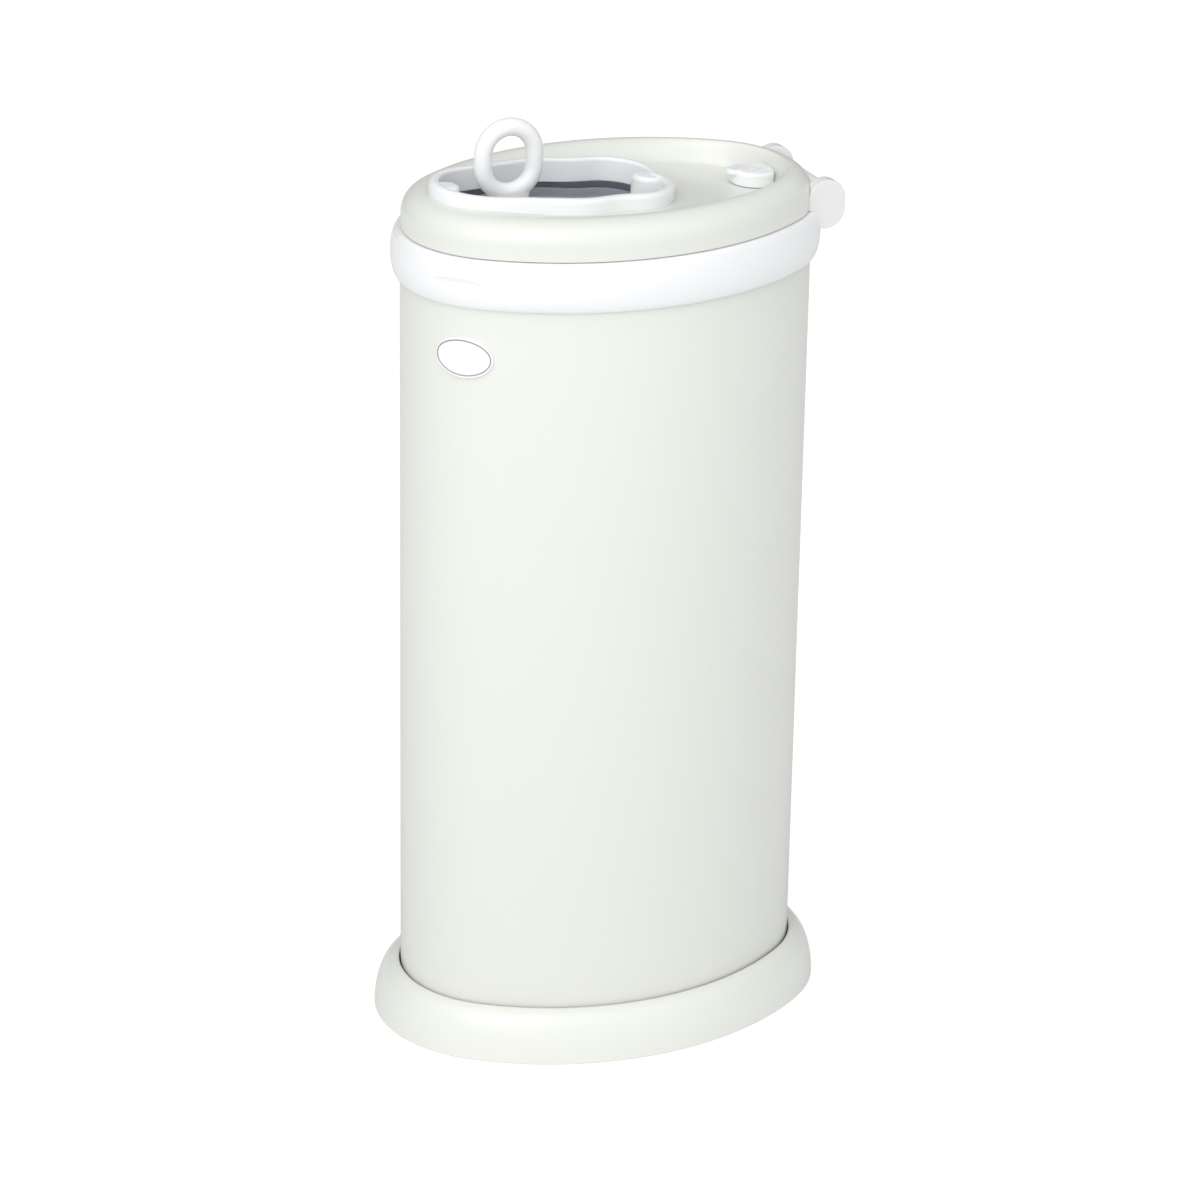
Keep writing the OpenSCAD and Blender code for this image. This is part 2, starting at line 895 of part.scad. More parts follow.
module ring_handle() {
  color("white") difference() {
    union() {
      translate([0, ring_y, ring_upper_z]) ring_half(90);
      translate([0, ring_y, ring_lower_z]) ring_half(-90);
      for (side = [-1, 1]) {
        translate([0, ring_y + side * ring_bend, ring_lower_z])
          cylinder(d = ring_rod, h = ring_upper_z - ring_lower_z, $fn = small);
      }
      intersection() {
        translate([0, ring_y, ring_base]) rotate([0, 90, 0])
          translate([0, 0, -ring_rod / 2]) linear_extrude(ring_rod)
            rotate([0, 0, 90]) neck_plan();
        translate([0, ring_y, 0]) translate([-ring_rod / 2, -ring_outer_r, ring_base])
          cube([ring_rod, 2 * ring_outer_r, ring_lower_z - ring_base]);
      }
      sloped() translate([-flange_depth / 2, ring_y - flange_width / 2, tray_floor])
        cube([flange_depth, flange_width, flange_height]);
    }
    sloped() ring_screw_places() screw_space(ring_screw_length, 0);
  }
}

// Side view of the neck: x along the door, y up from the door floor
module neck_plan() {
  height = ring_lower_z - ring_base - ring_bend + ring_rod / 2;
  difference() {
    translate([-flange_width / 2, 0]) square([flange_width, height]);
    for (side = [-1, 1]) {
      translate([side * (neck_width / 2 + height), height / 2 + flange_height])
        circle(r = height, $fn = fine * 2);
    }
  }
}

module ring_screws() {
  color("silver") sloped() ring_screw_places() screw(ring_screw_length);
}

// ---------- lock ----------

module lock_knob() {
  nub = 5;
  dot = 7;
  color("white") sloped() translate([0, knob_y, 0]) difference() {
    union() {
      translate([0, 0, knob_z]) cylinder(d = knob_diameter, h = knob_height, $fn = fine);
      translate([0, -knob_diameter / 2, knob_z]) cylinder(r = nub, h = knob_height - 2.5, $fn = small);
      translate([0, 0, cam_top - cam_wall]) cylinder(d = shaft_diameter, h = knob_z - cam_bottom, $fn = small);
    }
    translate([0, 0, knob_z - overshoot]) difference() {
      cylinder(d = knob_diameter - 2 * knob_wall, h = knob_height - knob_wall + overshoot, $fn = fine);
      cylinder(d = shaft_diameter + 4, h = knob_height, $fn = small);
    }
    translate([0, 0, knob_z + knob_height - 0.6]) difference() {
      cylinder(d = dot + 3, h = overshoot, $fn = small);
      cylinder(d = dot, h = overshoot, $fn = small);
    }
    translate([0, 0, cam_bottom - overshoot])
      cylinder(r = screw_radius, h = 7 + overshoot, $fn = small);
  }
}

module lock_cam() {
  color("gainsboro") sloped() translate([0, knob_y, cam_bottom]) difference() {
    union() {
      cylinder(d = bush_flange, h = cam_wall, $fn = small);
      translate([-4, -cam_length, 0]) cube([8, cam_length, cam_wall]);
      translate([0, -cam_length, 0]) cylinder(r = 4, h = cam_wall, $fn = small);
    }
    translate([0, 0, -overshoot]) cylinder(d = shaft_diameter, h = cam_wall + 2 * overshoot, $fn = small);
  }
}

module cam_screw() {
  color("silver") sloped() translate([0, knob_y, cam_bottom - cam_screw_head]) {
    cylinder(r = 4.5, h = cam_screw_head, $fn = small);
    cylinder(r = screw_radius, h = cam_screw_head + 7, $fn = small);
  }
}

body_shell();
foot_skirt();
foot_ring();
floor_pan();
floor_screws();
collar();
collar_screws();
bag_ring();
badge();
hinge_bracket();
bracket_screws();
hinge_pin();
lid_shell();
lid_frame();
frame_screws();
lid_gasket();
hinge_leaf();
leaf_screws();
opening_bezel();
opening_seal();
rail_left();
rail_right();
rail_screws();
knob_bushing();
sliding_door();
door_glides();
ring_handle();
ring_screws();
lock_knob();
lock_cam();
cam_screw();
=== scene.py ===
"""Dresses the nappy bin for a plain studio picture.

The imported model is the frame. The pieces that show are rebuilt here as smooth meshes with the
roundings of the real ones, and every other piece keeps its CAD mesh and gets its own finish.
"""

import logging
import math
from collections.abc import Sequence
from dataclasses import dataclass
from enum import Enum

import bmesh
import bpy
from mathutils import Matrix, Vector


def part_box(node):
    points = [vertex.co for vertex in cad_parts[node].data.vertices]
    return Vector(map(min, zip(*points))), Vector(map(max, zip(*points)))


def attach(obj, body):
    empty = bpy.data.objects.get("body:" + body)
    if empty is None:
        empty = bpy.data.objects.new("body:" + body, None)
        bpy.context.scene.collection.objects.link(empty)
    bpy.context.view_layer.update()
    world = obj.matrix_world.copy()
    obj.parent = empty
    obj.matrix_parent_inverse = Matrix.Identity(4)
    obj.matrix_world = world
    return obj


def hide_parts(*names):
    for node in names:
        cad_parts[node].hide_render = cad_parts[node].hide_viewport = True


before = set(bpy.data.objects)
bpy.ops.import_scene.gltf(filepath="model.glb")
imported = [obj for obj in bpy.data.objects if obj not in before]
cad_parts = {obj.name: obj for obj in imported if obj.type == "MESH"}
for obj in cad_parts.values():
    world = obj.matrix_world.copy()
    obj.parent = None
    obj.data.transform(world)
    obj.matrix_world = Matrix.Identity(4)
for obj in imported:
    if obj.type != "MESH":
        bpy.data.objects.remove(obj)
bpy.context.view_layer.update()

LOG = logging.getLogger("nappy_bin")
MM = 0.001
PIXELS = 1200
LEVEL = 1e-7  # metres by which a level edge may rise
AXIS = 0.01  # radius in millimetres that closes a turned piece at its axis
SOFT_EDGE = 40.0  # degrees that a rounded edge may turn and still shade smooth
ALL_SOFT = 180.0
SKIN_DEPTH = 1.5 * MM  # how deep light enters the plastic
RELIEF_STEP = 0.2 * MM  # height of the finest relief

Point = tuple[float, float]
Corner = tuple[float, float, float]
Place = tuple[float, float, float]
Limits = tuple[float, float, float, float]
Colour = tuple[float, float, float]


class Body(Enum):
    """The CAD bodies that pieces ride on."""

    BIN = "bin"
    LID = "lid"
    DOOR = "door"
    KNOB = "knob"


class Slot(Enum):
    """The record's material slots."""

    PAINT = "painted_steel"
    WHITE = "white_plastic"
    OFF_WHITE = "grey_white_plastic"
    GREY = "grey_plastic"
    SEAL = "seal_rubber"
    RUBBER = "rubber"
    ACETAL = "acetal"
    STEEL = "steel"
    ZINC = "zinc_steel"


def box_mm(node: str) -> tuple[Vector, Vector]:
    """Gives a CAD node's lowest and highest corners in millimetres.

    Args:
        node: Name of the CAD node.

    Returns:
        The two corners.
    """
    low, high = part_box(node)
    return Vector(low) / MM, Vector(high) / MM


# ---------- outlines ----------


def ease(share: float) -> float:
    """Gives a soft step for a share from 0 to 1."""
    return share * share * (3 - 2 * share)


def arc_points(
    centre: Point, radius: float, start: float, end: float, steps: int
) -> list[Point]:
    """Gives points along an arc, without its last point.

    Args:
        centre: Centre of the arc in millimetres.
        radius: Radius in millimetres.
        start: First angle in radians from +X.
        end: Last angle in radians.
        steps: Number of points.

    Returns:
        The points in order.
    """
    turns = [start + (end - start) * i / steps for i in range(steps)]
    return [
        (centre[0] + radius * math.cos(a), centre[1] + radius * math.sin(a))
        for a in turns
    ]


@dataclass(frozen=True)
class BodyOval:
    """The four-arc oval that the body, foot, band and lid all follow."""

    half_length: float
    half_width: float
    side_steps: int = 56
    end_steps: int = 48

    @property
    def unit(self) -> float:
        """Side of the 3-4-5 triangle that holds the arc centres."""
        return (self.half_length - self.half_width) / 2

    @property
    def end_y(self) -> float:
        """Distance of the end arcs' centres from the middle."""
        return 3 * self.unit

    @property
    def side_x(self) -> float:
        """Distance of the side arcs' centres from the middle."""
        return 4 * self.unit

    def loop(self, offset: float) -> list[Point]:
        """Gives the oval drawn larger by an offset.

        Args:
            offset: Distance outside the body's oval in millimetres.

        Returns:
            Points anticlockwise from the right-hand seam near the front.
        """
        seam = math.atan2(3, 4)
        end_r = self.half_length - self.end_y + offset
        side_r = self.half_width + self.side_x + offset
        points = arc_points((-self.side_x, 0), side_r, -seam, seam, self.side_steps)
        points += arc_points((0, self.end_y), end_r, seam, math.pi - seam, self.end_steps)
        points += arc_points(
            (self.side_x, 0), side_r, math.pi - seam, math.pi + seam, self.side_steps
        )
        points += arc_points(
            (0, -self.end_y), end_r, math.pi + seam, 2 * math.pi - seam, self.end_steps
        )
        return points

    def front_point(self, turn: float, offset: float) -> Point:
        """Gives a point on the front arc, turned from -Y towards +X.

        Args:
            turn: Angle in degrees.
            offset: Distance outside the body's oval in millimetres.

        Returns:
            The point in plan.
        """
        radius = self.half_length - self.end_y + offset
        angle = math.radians(turn)
        return radius * math.sin(angle), -self.end_y - radius * math.cos(angle)


@dataclass(frozen=True)
class OpeningOutline:
    """The pear-shaped outline of the opening, made of tangent arcs."""

    front_radius: float = 34.0
    front_y: float = -75.0
    middle_radius: float = 43.8
    middle_y: float = -30.0
    lobe_radius: float = 29.5
    lobe_x: float = 11.0
    lobe_y: float = 4.5
    waist_radius: float = 60.0
    front_steps: int = 36
    middle_steps: int = 10
    waist_steps: int = 14
    lobe_steps: int = 30

    def waist_centre(self) -> Point:
        """Gives the centre of the right-hand waist arc.

        Returns:
            The centre in plan.
        """
        reach_a = self.middle_radius + self.waist_radius
        reach_b = self.lobe_radius + self.waist_radius
        rise = self.lobe_y - self.middle_y
        span = math.hypot(self.lobe_x, rise)
        along = (reach_a**2 - reach_b**2 + span**2) / (2 * span)
        across = math.sqrt(reach_a**2 - along**2)
        unit_x, unit_y = self.lobe_x / span, rise / span
        return (
            along * unit_x + across * unit_y,
            self.middle_y + along * unit_y - across * unit_x,
        )

    def loop(self, grow: float) -> list[Point]:
        """Gives the outline drawn larger all round.

        Args:
            grow: Distance outside the outline in millimetres.

        Returns:
            Points anticlockwise from the front.
        """
        taper = math.asin(
            (self.front_radius - self.middle_radius) / (self.middle_y - self.front_y)
        )
        waist = self.waist_centre()
        to_waist = math.atan2(waist[1] - self.middle_y, waist[0])
        lobe_to_waist = math.atan2(waist[1] - self.lobe_y, waist[0] - self.lobe_x)
        lobe_r = self.lobe_radius + grow
        cusp = math.pi - math.acos(min(1.0, self.lobe_x / lobe_r))
        right = arc_points(
            (0, self.front_y), self.front_radius + grow, -math.pi / 2, taper,
            self.front_steps,
        )
        right += arc_points(
            (0, self.middle_y), self.middle_radius + grow, taper, to_waist,
            self.middle_steps,
        )
        right += arc_points(
            waist, self.waist_radius - grow, to_waist + math.pi,
            lobe_to_waist + math.pi, self.waist_steps,
        )
        right += arc_points(
            (self.lobe_x, self.lobe_y), lobe_r, lobe_to_waist, cusp, self.lobe_steps
        )
        cusp_y = self.lobe_y + lobe_r * math.sin(cusp)
        left = [(-x, y) for x, y in reversed(right[1:])]
        return [*right, (0.0, cusp_y), *left]


@dataclass(frozen=True)
class Slope:
    """The sloping plane of the lid's sunken floor and the door."""

    angle: float = 3.6
    height: float = 514.0

    def matrix(self) -> Matrix:
        """Gives the move from a level floor to the sloping one, in metres."""
        pivot = Matrix.Translation((0, 0, self.height * MM))
        return pivot @ Matrix.Rotation(math.radians(-self.angle), 4, "X") @ pivot.inverted()

    def lay(self, piece: bpy.types.Object) -> bpy.types.Object:
        """Lays a piece that was built level into the slope."""
        piece.data.transform(self.matrix())
        return piece

    def rise(self, y: float) -> float:
        """Gives the height of the sloping floor at a distance from the middle."""
        return self.height - y * math.tan(math.radians(self.angle))


SLOPE = Slope()


# ---------- meshes ----------


def round_profile(corners: Sequence[Corner], steps: int = 6) -> list[Point]:
    """Rounds the corners of a closed profile.

    Args:
        corners: Each corner's two coordinates and its rounding distance, in millimetres.
        steps: Points along each rounding.

    Returns:
        The rounded profile.
    """
    points: list[Point] = []
    for i, (x, z, soft) in enumerate(corners):
        here = Vector((x, z))
        if soft == 0:
            points.append((x, z))
            continue
        before = Vector(corners[i - 1][:2]) - here
        after = Vector(corners[(i + 1) % len(corners)][:2]) - here
        first = here + before.normalized() * min(soft, before.length / 2)
        last = here + after.normalized() * min(soft, after.length / 2)
        for step in range(steps + 1):
            t = step / steps
            spot = first * (1 - t) ** 2 + here * (2 * t * (1 - t)) + last * t**2
            points.append((spot.x, spot.y))
    return points


def new_object(
    name: str, verts: Sequence[Sequence[float]], faces: Sequence[Sequence[int]]
) -> bpy.types.Object:
    """Makes a mesh object from millimetre points.

    Args:
        name: Name of the piece.
        verts: Points in millimetres.
        faces: Lists of point numbers.

    Returns:
        The new object, linked to the scene.
    """
    mesh = bpy.data.meshes.new(name)
    mesh.from_pydata([tuple(c * MM for c in v) for v in verts], [], faces)
    mesh.validate()
    piece = bpy.data.objects.new(name, mesh)
    bpy.context.scene.collection.objects.link(piece)
    return piece


def smooth(piece: bpy.types.Object, angle: float = 32.0) -> None:
    """Shades a piece smooth apart from its sharp edges.

    Args:
        piece: The object.
        angle: Edges that turn by more degrees than this stay sharp.
    """
    mesh = piece.data
    mesh.polygons.foreach_set("use_smooth", [True] * len(mesh.polygons))
    mesh.set_sharp_from_angle(angle=math.radians(angle))
    mesh.update()


def face_outwards(piece: bpy.types.Object) -> None:
    """Turns the faces of a closed piece outwards.

    Args:
        piece: The object.
    """
    work = bmesh.new()
    work.from_mesh(piece.data)
    bmesh.ops.recalc_face_normals(work, faces=work.faces)
    work.to_mesh(piece.data)
    work.free()


def ring_faces(ring: int, rings: int, count: int) -> list[list[int]]:
    """Gives the faces between a ring of points and the next one.

    Args:
        ring: Number of the ring.
        rings: How many rings there are. The first follows the last.
        count: Points in each ring.

    Returns:
        Lists of point numbers.
    """
    low, high = ring * count, ((ring + 1) % rings) * count
    nexts = [(i + 1) % count for i in range(count)]
    return [[low + i, low + j, high + j, high + i] for i, j in enumerate(nexts)]


def swept(
    name: str, rings: Sequence[Sequence[Sequence[float]]], closed: bool = True
) -> bpy.types.Object:
    """Joins rings of points with the same count into one skin.

    Args:
        name: Name of the piece.
        rings: Closed rings of 3-D points in millimetres.
        closed: Whether the last ring joins the first. Otherwise both are capped.

    Returns:
        The new object.
    """
    count = len(rings[0])
    verts = [v for ring in rings for v in ring]
    faces: list[list[int]] = []
    for r in range(len(rings) if closed else len(rings) - 1):
        faces += ring_faces(r, len(rings), count)
    if not closed:
        faces.append(list(range(count - 1, -1, -1)))
        faces.append(list(range(len(verts) - count, len(verts))))
    piece = new_object(name, verts, faces)
    face_outwards(piece)
    return piece


def open_skin(
    name: str, outer: Sequence[Sequence[Place]], inner: Sequence[Sequence[Place]]
) -> bpy.types.Object:
    """Makes a dished shell from its outer rings and then its inner rings.

    Args:
        name: Name of the piece.
        outer: Rings from the shell's edge to its middle.
        inner: Rings from the middle back to the edge.

    Returns:
        The closed shell.
    """
    rings = [*outer, *inner]
    count = len(rings[0])
    turn = len(outer) - 1
    faces: list[list[int]] = []
    for r in range(len(rings)):
        if r != turn:
            faces += ring_faces(r, len(rings), count)
    for r in (turn, turn + 1):
        faces.append([r * count + i for i in range(count)])
    piece = new_object(name, [v for ring in rings for v in ring], faces)
    face_outwards(piece)
    return piece


def carried(
    name: str, outline: BodyOval | OpeningOutline, profile: Sequence[Point]
) -> bpy.types.Object:
    """Carries a closed profile round an outline.

    Args:
        name: Name of the piece.
        outline: What it goes round.
        profile: Distance outside the outline and height of each point, in millimetres.

    Returns:
        The new object.
    """
    rings = [[(x, y, z) for x, y in outline.loop(out)] for out, z in profile]
    return swept(name, rings)


def turned(name: str, profile: Sequence[Point], steps: int = 72) -> bpy.types.Object:
    """Turns a closed profile round the Z axis.

    Args:
        name: Name of the piece.
        profile: Radius and height of each point, in millimetres.
        steps: Points round the axis.

    Returns:
        The new object.
    """
    rings = [
        [(x, y, z) for x, y in arc_points((0, 0), max(radius, AXIS), 0, math.tau, steps)]
        for radius, z in profile
    ]
    return swept(name, rings, closed=False)


def plate(
    name: str, outline: Sequence[Point], low: float, high: float, soft: float
) -> bpy.types.Object:
    """Makes an upright plate with rounded edges.

    Args:
        name: Name of the piece.
        outline: Plan of the plate in millimetres.
        low: Height of its lower face.
        high: Height of its upper face.
        soft: Rounding of its edges.

    Returns:
        The new object.
    """
    verts = [(x, y, z) for z in (low, high) for x, y in outline]
    count = len(outline)
    faces = [[i, (i + 1) % count, count + (i + 1) % count, count + i] for i in range(count)]
    faces += [list(range(count - 1, -1, -1)), list(range(count, 2 * count))]
    piece = new_object(name, verts, faces)
    face_outwards(piece)
    if soft > 0:
        work = bmesh.new()
        work.from_mesh(piece.data)
        level = [e for e in work.edges if abs(e.verts[0].co.z - e.verts[1].co.z) < LEVEL]
        rims = [e for e in level if len(e.link_faces) == 2]
        bmesh.ops.bevel(
            work, geom=rims, offset=soft * MM, segments=4, profile=0.5, affect="EDGES"
        )
        work.to_mesh(piece.data)
        work.free()
    return piece


def applied(piece: bpy.types.Object) -> bpy.types.Object:
    """Applies a piece's modifiers to its mesh.

    Args:
        piece: The object.

    Returns:
        The same object, with its new mesh.
    """
    graph = bpy.context.evaluated_depsgraph_get()
    mesh = bpy.data.meshes.new_from_object(piece.evaluated_get(graph))
    old = piece.data
    piece.modifiers.clear()
    piece.data = mesh
    mesh.name = piece.name
    bpy.data.meshes.remove(old)
    return piece


def cut(piece: bpy.types.Object, *cutters: bpy.types.Object) -> bpy.types.Object:
    """Cuts other objects out of a piece and removes them.

    Args:
        piece: What is cut.
        cutters: Closed objects to take away.

    Returns:
        The cut piece.
    """
    return combined(piece, "DIFFERENCE", cutters)


def joined(piece: bpy.types.Object, *others: bpy.types.Object) -> bpy.types.Object:
    """Joins other closed objects to a piece and removes them.

    Args:
        piece: What they are joined to.
        others: Closed objects that run into it.

    Returns:
        The joined piece.
    """
    return combined(piece, "UNION", others)


def bar(name: str, radius: float, half: float, y: float, z: float) -> bpy.types.Object:
    """Makes a round bar along X.

    Args:
        name: Name of the piece.
        radius: Radius in millimetres.
        half: Half of its length.
        y: Place of its axis along Y.
        z: Height of its axis.

    Returns:
        The new object.
    """
    piece = turned(name, [(radius, -half), (radius, half)])
    turn = Matrix.Rotation(math.radians(90), 4, "Y")
    piece.data.transform(Matrix.Translation((0, y * MM, z * MM)) @ turn)
    return piece


def side_plate(
    name: str, outline: Sequence[Point], low: float, high: float, soft: float
) -> bpy.types.Object:
    """Makes a plate with its outline seen along X.

    Args:
        name: Name of the piece.
        outline: Y and Z of each point in millimetres.
        low: X of its one face.
        high: X of its other face.
        soft: Rounding of its edges.

    Returns:
        The new object.
    """
    piece = plate(name, outline, low, high, soft)
    piece.data.transform(Matrix(((0, 0, 1), (1, 0, 0), (0, 1, 0))).to_4x4())
    return piece


def combined(
    piece: bpy.types.Object, operation: str, others: Sequence[bpy.types.Object]
) -> bpy.types.Object:
    """Combines a piece with other closed objects and removes them.

    Args:
        piece: The object that is changed.
        operation: DIFFERENCE, UNION or INTERSECT.
        others: Closed objects.

    Returns:
        The changed piece.
    """
    for other in others:
        step = piece.modifiers.new(other.name, "BOOLEAN")
        step.operation = operation
        step.solver = "EXACT"
        step.object = other
    applied(piece)
    for other in others:
        bpy.data.objects.remove(other)
    return piece


def copied(node: str, name: str) -> bpy.types.Object:
    """Copies a CAD node's mesh, with its place, into a new object.

    Args:
        node: Name of the CAD node.
        name: Name of the copy.

    Returns:
        The copy. The CAD node stays as it is.
    """
    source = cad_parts[node]
    piece = bpy.data.objects.new(name, source.data.copy())
    piece.data.transform(source.matrix_world)
    bpy.context.scene.collection.objects.link(piece)
    return piece


def melted(
    name: str, parts: Sequence[bpy.types.Object], voxel: float, passes: int
) -> bpy.types.Object:
    """Joins closed parts into one skin with soft inner corners, as moulded plastic has.

    Args:
        name: Name of the joined piece.
        parts: Closed objects that run into each other.
        voxel: Size of the skin's mesh in millimetres.
        passes: How often the skin is smoothed.

    Returns:
        The joined piece.
    """
    work = bmesh.new()
    for part in parts:
        work.from_mesh(part.data)
        bpy.data.objects.remove(part)
    mesh = bpy.data.meshes.new(name)
    work.to_mesh(mesh)
    work.free()
    piece = bpy.data.objects.new(name, mesh)
    bpy.context.scene.collection.objects.link(piece)
    skin = piece.modifiers.new("skin", "REMESH")
    skin.mode = "VOXEL"
    skin.voxel_size = voxel * MM
    relax = piece.modifiers.new("relax", "SMOOTH")
    relax.factor = 0.5
    relax.iterations = passes
    applied(piece)
    smooth(piece, ALL_SOFT)
    return piece


# ---------- finishes ----------


class Shader:
    """A small helper that adds nodes to a node tree and joins them."""

    def __init__(self, tree: bpy.types.NodeTree) -> None:
        """Takes the tree that the nodes go into."""
        self.tree = tree

    def add(self, kind: str, **settings: object) -> bpy.types.Node:
        """Adds a node.

        Args:
            kind: Blender's name for the node type.
            settings: Properties of the node, or socket values by name with spaces as
                underscores.

        Returns:
            The node.
        """
        node = self.tree.nodes.new(kind)
        for key, value in settings.items():
            socket = node.inputs.get(key.replace("_", " "))
            if hasattr(node, key):
                setattr(node, key, value)
            elif socket is not None:
                socket.default_value = value
        return node

    def join(self, source: bpy.types.NodeSocket, target: bpy.types.NodeSocket) -> None:
        """Joins an output to an input."""
        self.tree.links.new(source, target)

    def ramp(self, source: bpy.types.NodeSocket, limits: Limits) -> bpy.types.NodeSocket:
        """Maps a value softly from one range to another.

        Args:
            source: The output to map.
            limits: Start and end of its range, then start and end of the new one.

        Returns:
            The mapped output.
        """
        node = self.add("ShaderNodeMapRange", interpolation_type="SMOOTHSTEP")
        labels = ("From Min", "From Max", "To Min", "To Max")
        for label, value in zip(labels, limits, strict=True):
            node.inputs[label].default_value = value
        self.join(source, node.inputs["Value"])
        return node.outputs["Result"]

    def blend(
        self, share: bpy.types.NodeSocket, first: bpy.types.Node, second: bpy.types.Node,
        out: str,
    ) -> None:
        """Mixes two shaders into an output node.

        Args:
            share: Output that holds the second shader's share.
            first: The first shader.
            second: The second shader.
            out: Name of the tree's output node.
        """
        mix = self.add("ShaderNodeMixShader")
        self.join(share, mix.inputs[0])
        self.join(first.outputs[0], mix.inputs[1])
        self.join(second.outputs[0], mix.inputs[2])
        self.join(mix.outputs[0], self.tree.nodes[out].inputs["Surface"])


def fill(node: bpy.types.Node, values: dict[str, float | tuple[float, ...]]) -> None:
    """Sets a node's input values.

    Args:
        node: The node.
        values: Each input's name and value.
    """
    for label, value in values.items():
        node.inputs[label].default_value = value


def new_group(
    name: str, inputs: dict[str, float | Colour], outputs: Sequence[tuple[str, str]]
) -> tuple[bpy.types.NodeTree, Shader, bpy.types.Node, bpy.types.Node]:
    """Starts a shader node group.

    Args:
        name: Name of the group.
        inputs: Each input's name and default. A number makes a value, three a colour.
        outputs: Each output's name and socket type.

    Returns:
        The group, its helper, its input node and its output node.
    """
    group = bpy.data.node_groups.new(name, "ShaderNodeTree")
    for label, default in inputs.items():
        kind = "NodeSocketFloat" if isinstance(default, float) else "NodeSocketColor"
        socket = group.interface.new_socket(label, in_out="INPUT", socket_type=kind)
        socket.default_value = default if isinstance(default, float) else (*default, 1.0)
    for label, kind in outputs:
        group.interface.new_socket(label, in_out="OUTPUT", socket_type=kind)
    shader = Shader(group)
    return group, shader, shader.add("NodeGroupInput"), shader.add("NodeGroupOutput")


def tone_group() -> bpy.types.NodeTree:
    """Builds the slow drift of colour and gloss that any moulded or painted skin has.

    Returns:
        The node group.
    """
    group, shader, source, sink = new_group(
        "slow_tone",
        {"Colour": (0.8, 0.8, 0.8), "Deep": (0.7, 0.7, 0.7), "Scale": 12.0,
         "Drift": 0.1, "Gloss": 0.3, "Gloss Drift": 0.05},
        [("Colour", "NodeSocketColor"), ("Roughness", "NodeSocketFloat")],
    )
    place = shader.add("ShaderNodeTexCoord")
    cloud = shader.add("ShaderNodeTexNoise", Detail=3.0, Roughness=0.55)
    shader.join(place.outputs["Object"], cloud.inputs["Vector"])
    shader.join(source.outputs["Scale"], cloud.inputs["Scale"])
    amount = shader.add("ShaderNodeMath", operation="MULTIPLY")
    shader.join(cloud.outputs["Fac"], amount.inputs[0])
    shader.join(source.outputs["Drift"], amount.inputs[1])
    mix = shader.add("ShaderNodeMix", data_type="RGBA")
    first, second, mixed = mix.inputs[6], mix.inputs[7], mix.outputs[2]
    shader.join(amount.outputs[0], mix.inputs["Factor"])
    shader.join(source.outputs["Colour"], first)
    shader.join(source.outputs["Deep"], second)
    shader.join(mixed, sink.inputs["Colour"])
    centred = shader.add("ShaderNodeMath", operation="SUBTRACT")
    centred.inputs[1].default_value = 0.5
    shader.join(cloud.outputs["Fac"], centred.inputs[0])
    spread = shader.add("ShaderNodeMath", operation="MULTIPLY_ADD")
    shader.join(centred.outputs[0], spread.inputs[0])
    shader.join(source.outputs["Gloss Drift"], spread.inputs[1])
    shader.join(source.outputs["Gloss"], spread.inputs[2])
    shader.join(spread.outputs[0], sink.inputs["Roughness"])
    return group


def relief_group() -> bpy.types.NodeTree:
    """Builds the fine relief of a skin: paint ripple or the grain of a mould.

    Returns:
        The node group.
    """
    group, shader, source, sink = new_group(
        "fine_relief",
        {"Scale": 900.0, "Stretch": 1.0, "Detail": 2.0},
        [("Height", "NodeSocketFloat")],
    )
    place = shader.add("ShaderNodeTexCoord")
    stretch = shader.add("ShaderNodeCombineXYZ", X=1.0, Y=1.0)
    shader.join(source.outputs["Stretch"], stretch.inputs["Z"])
    spread = shader.add("ShaderNodeVectorMath", operation="MULTIPLY")
    shader.join(place.outputs["Object"], spread.inputs[0])
    shader.join(stretch.outputs[0], spread.inputs[1])
    grain = shader.add("ShaderNodeTexNoise", Roughness=0.5)
    shader.join(spread.outputs[0], grain.inputs["Vector"])
    shader.join(source.outputs["Scale"], grain.inputs["Scale"])
    shader.join(source.outputs["Detail"], grain.inputs["Detail"])
    shader.join(grain.outputs["Fac"], sink.inputs["Height"])
    return group


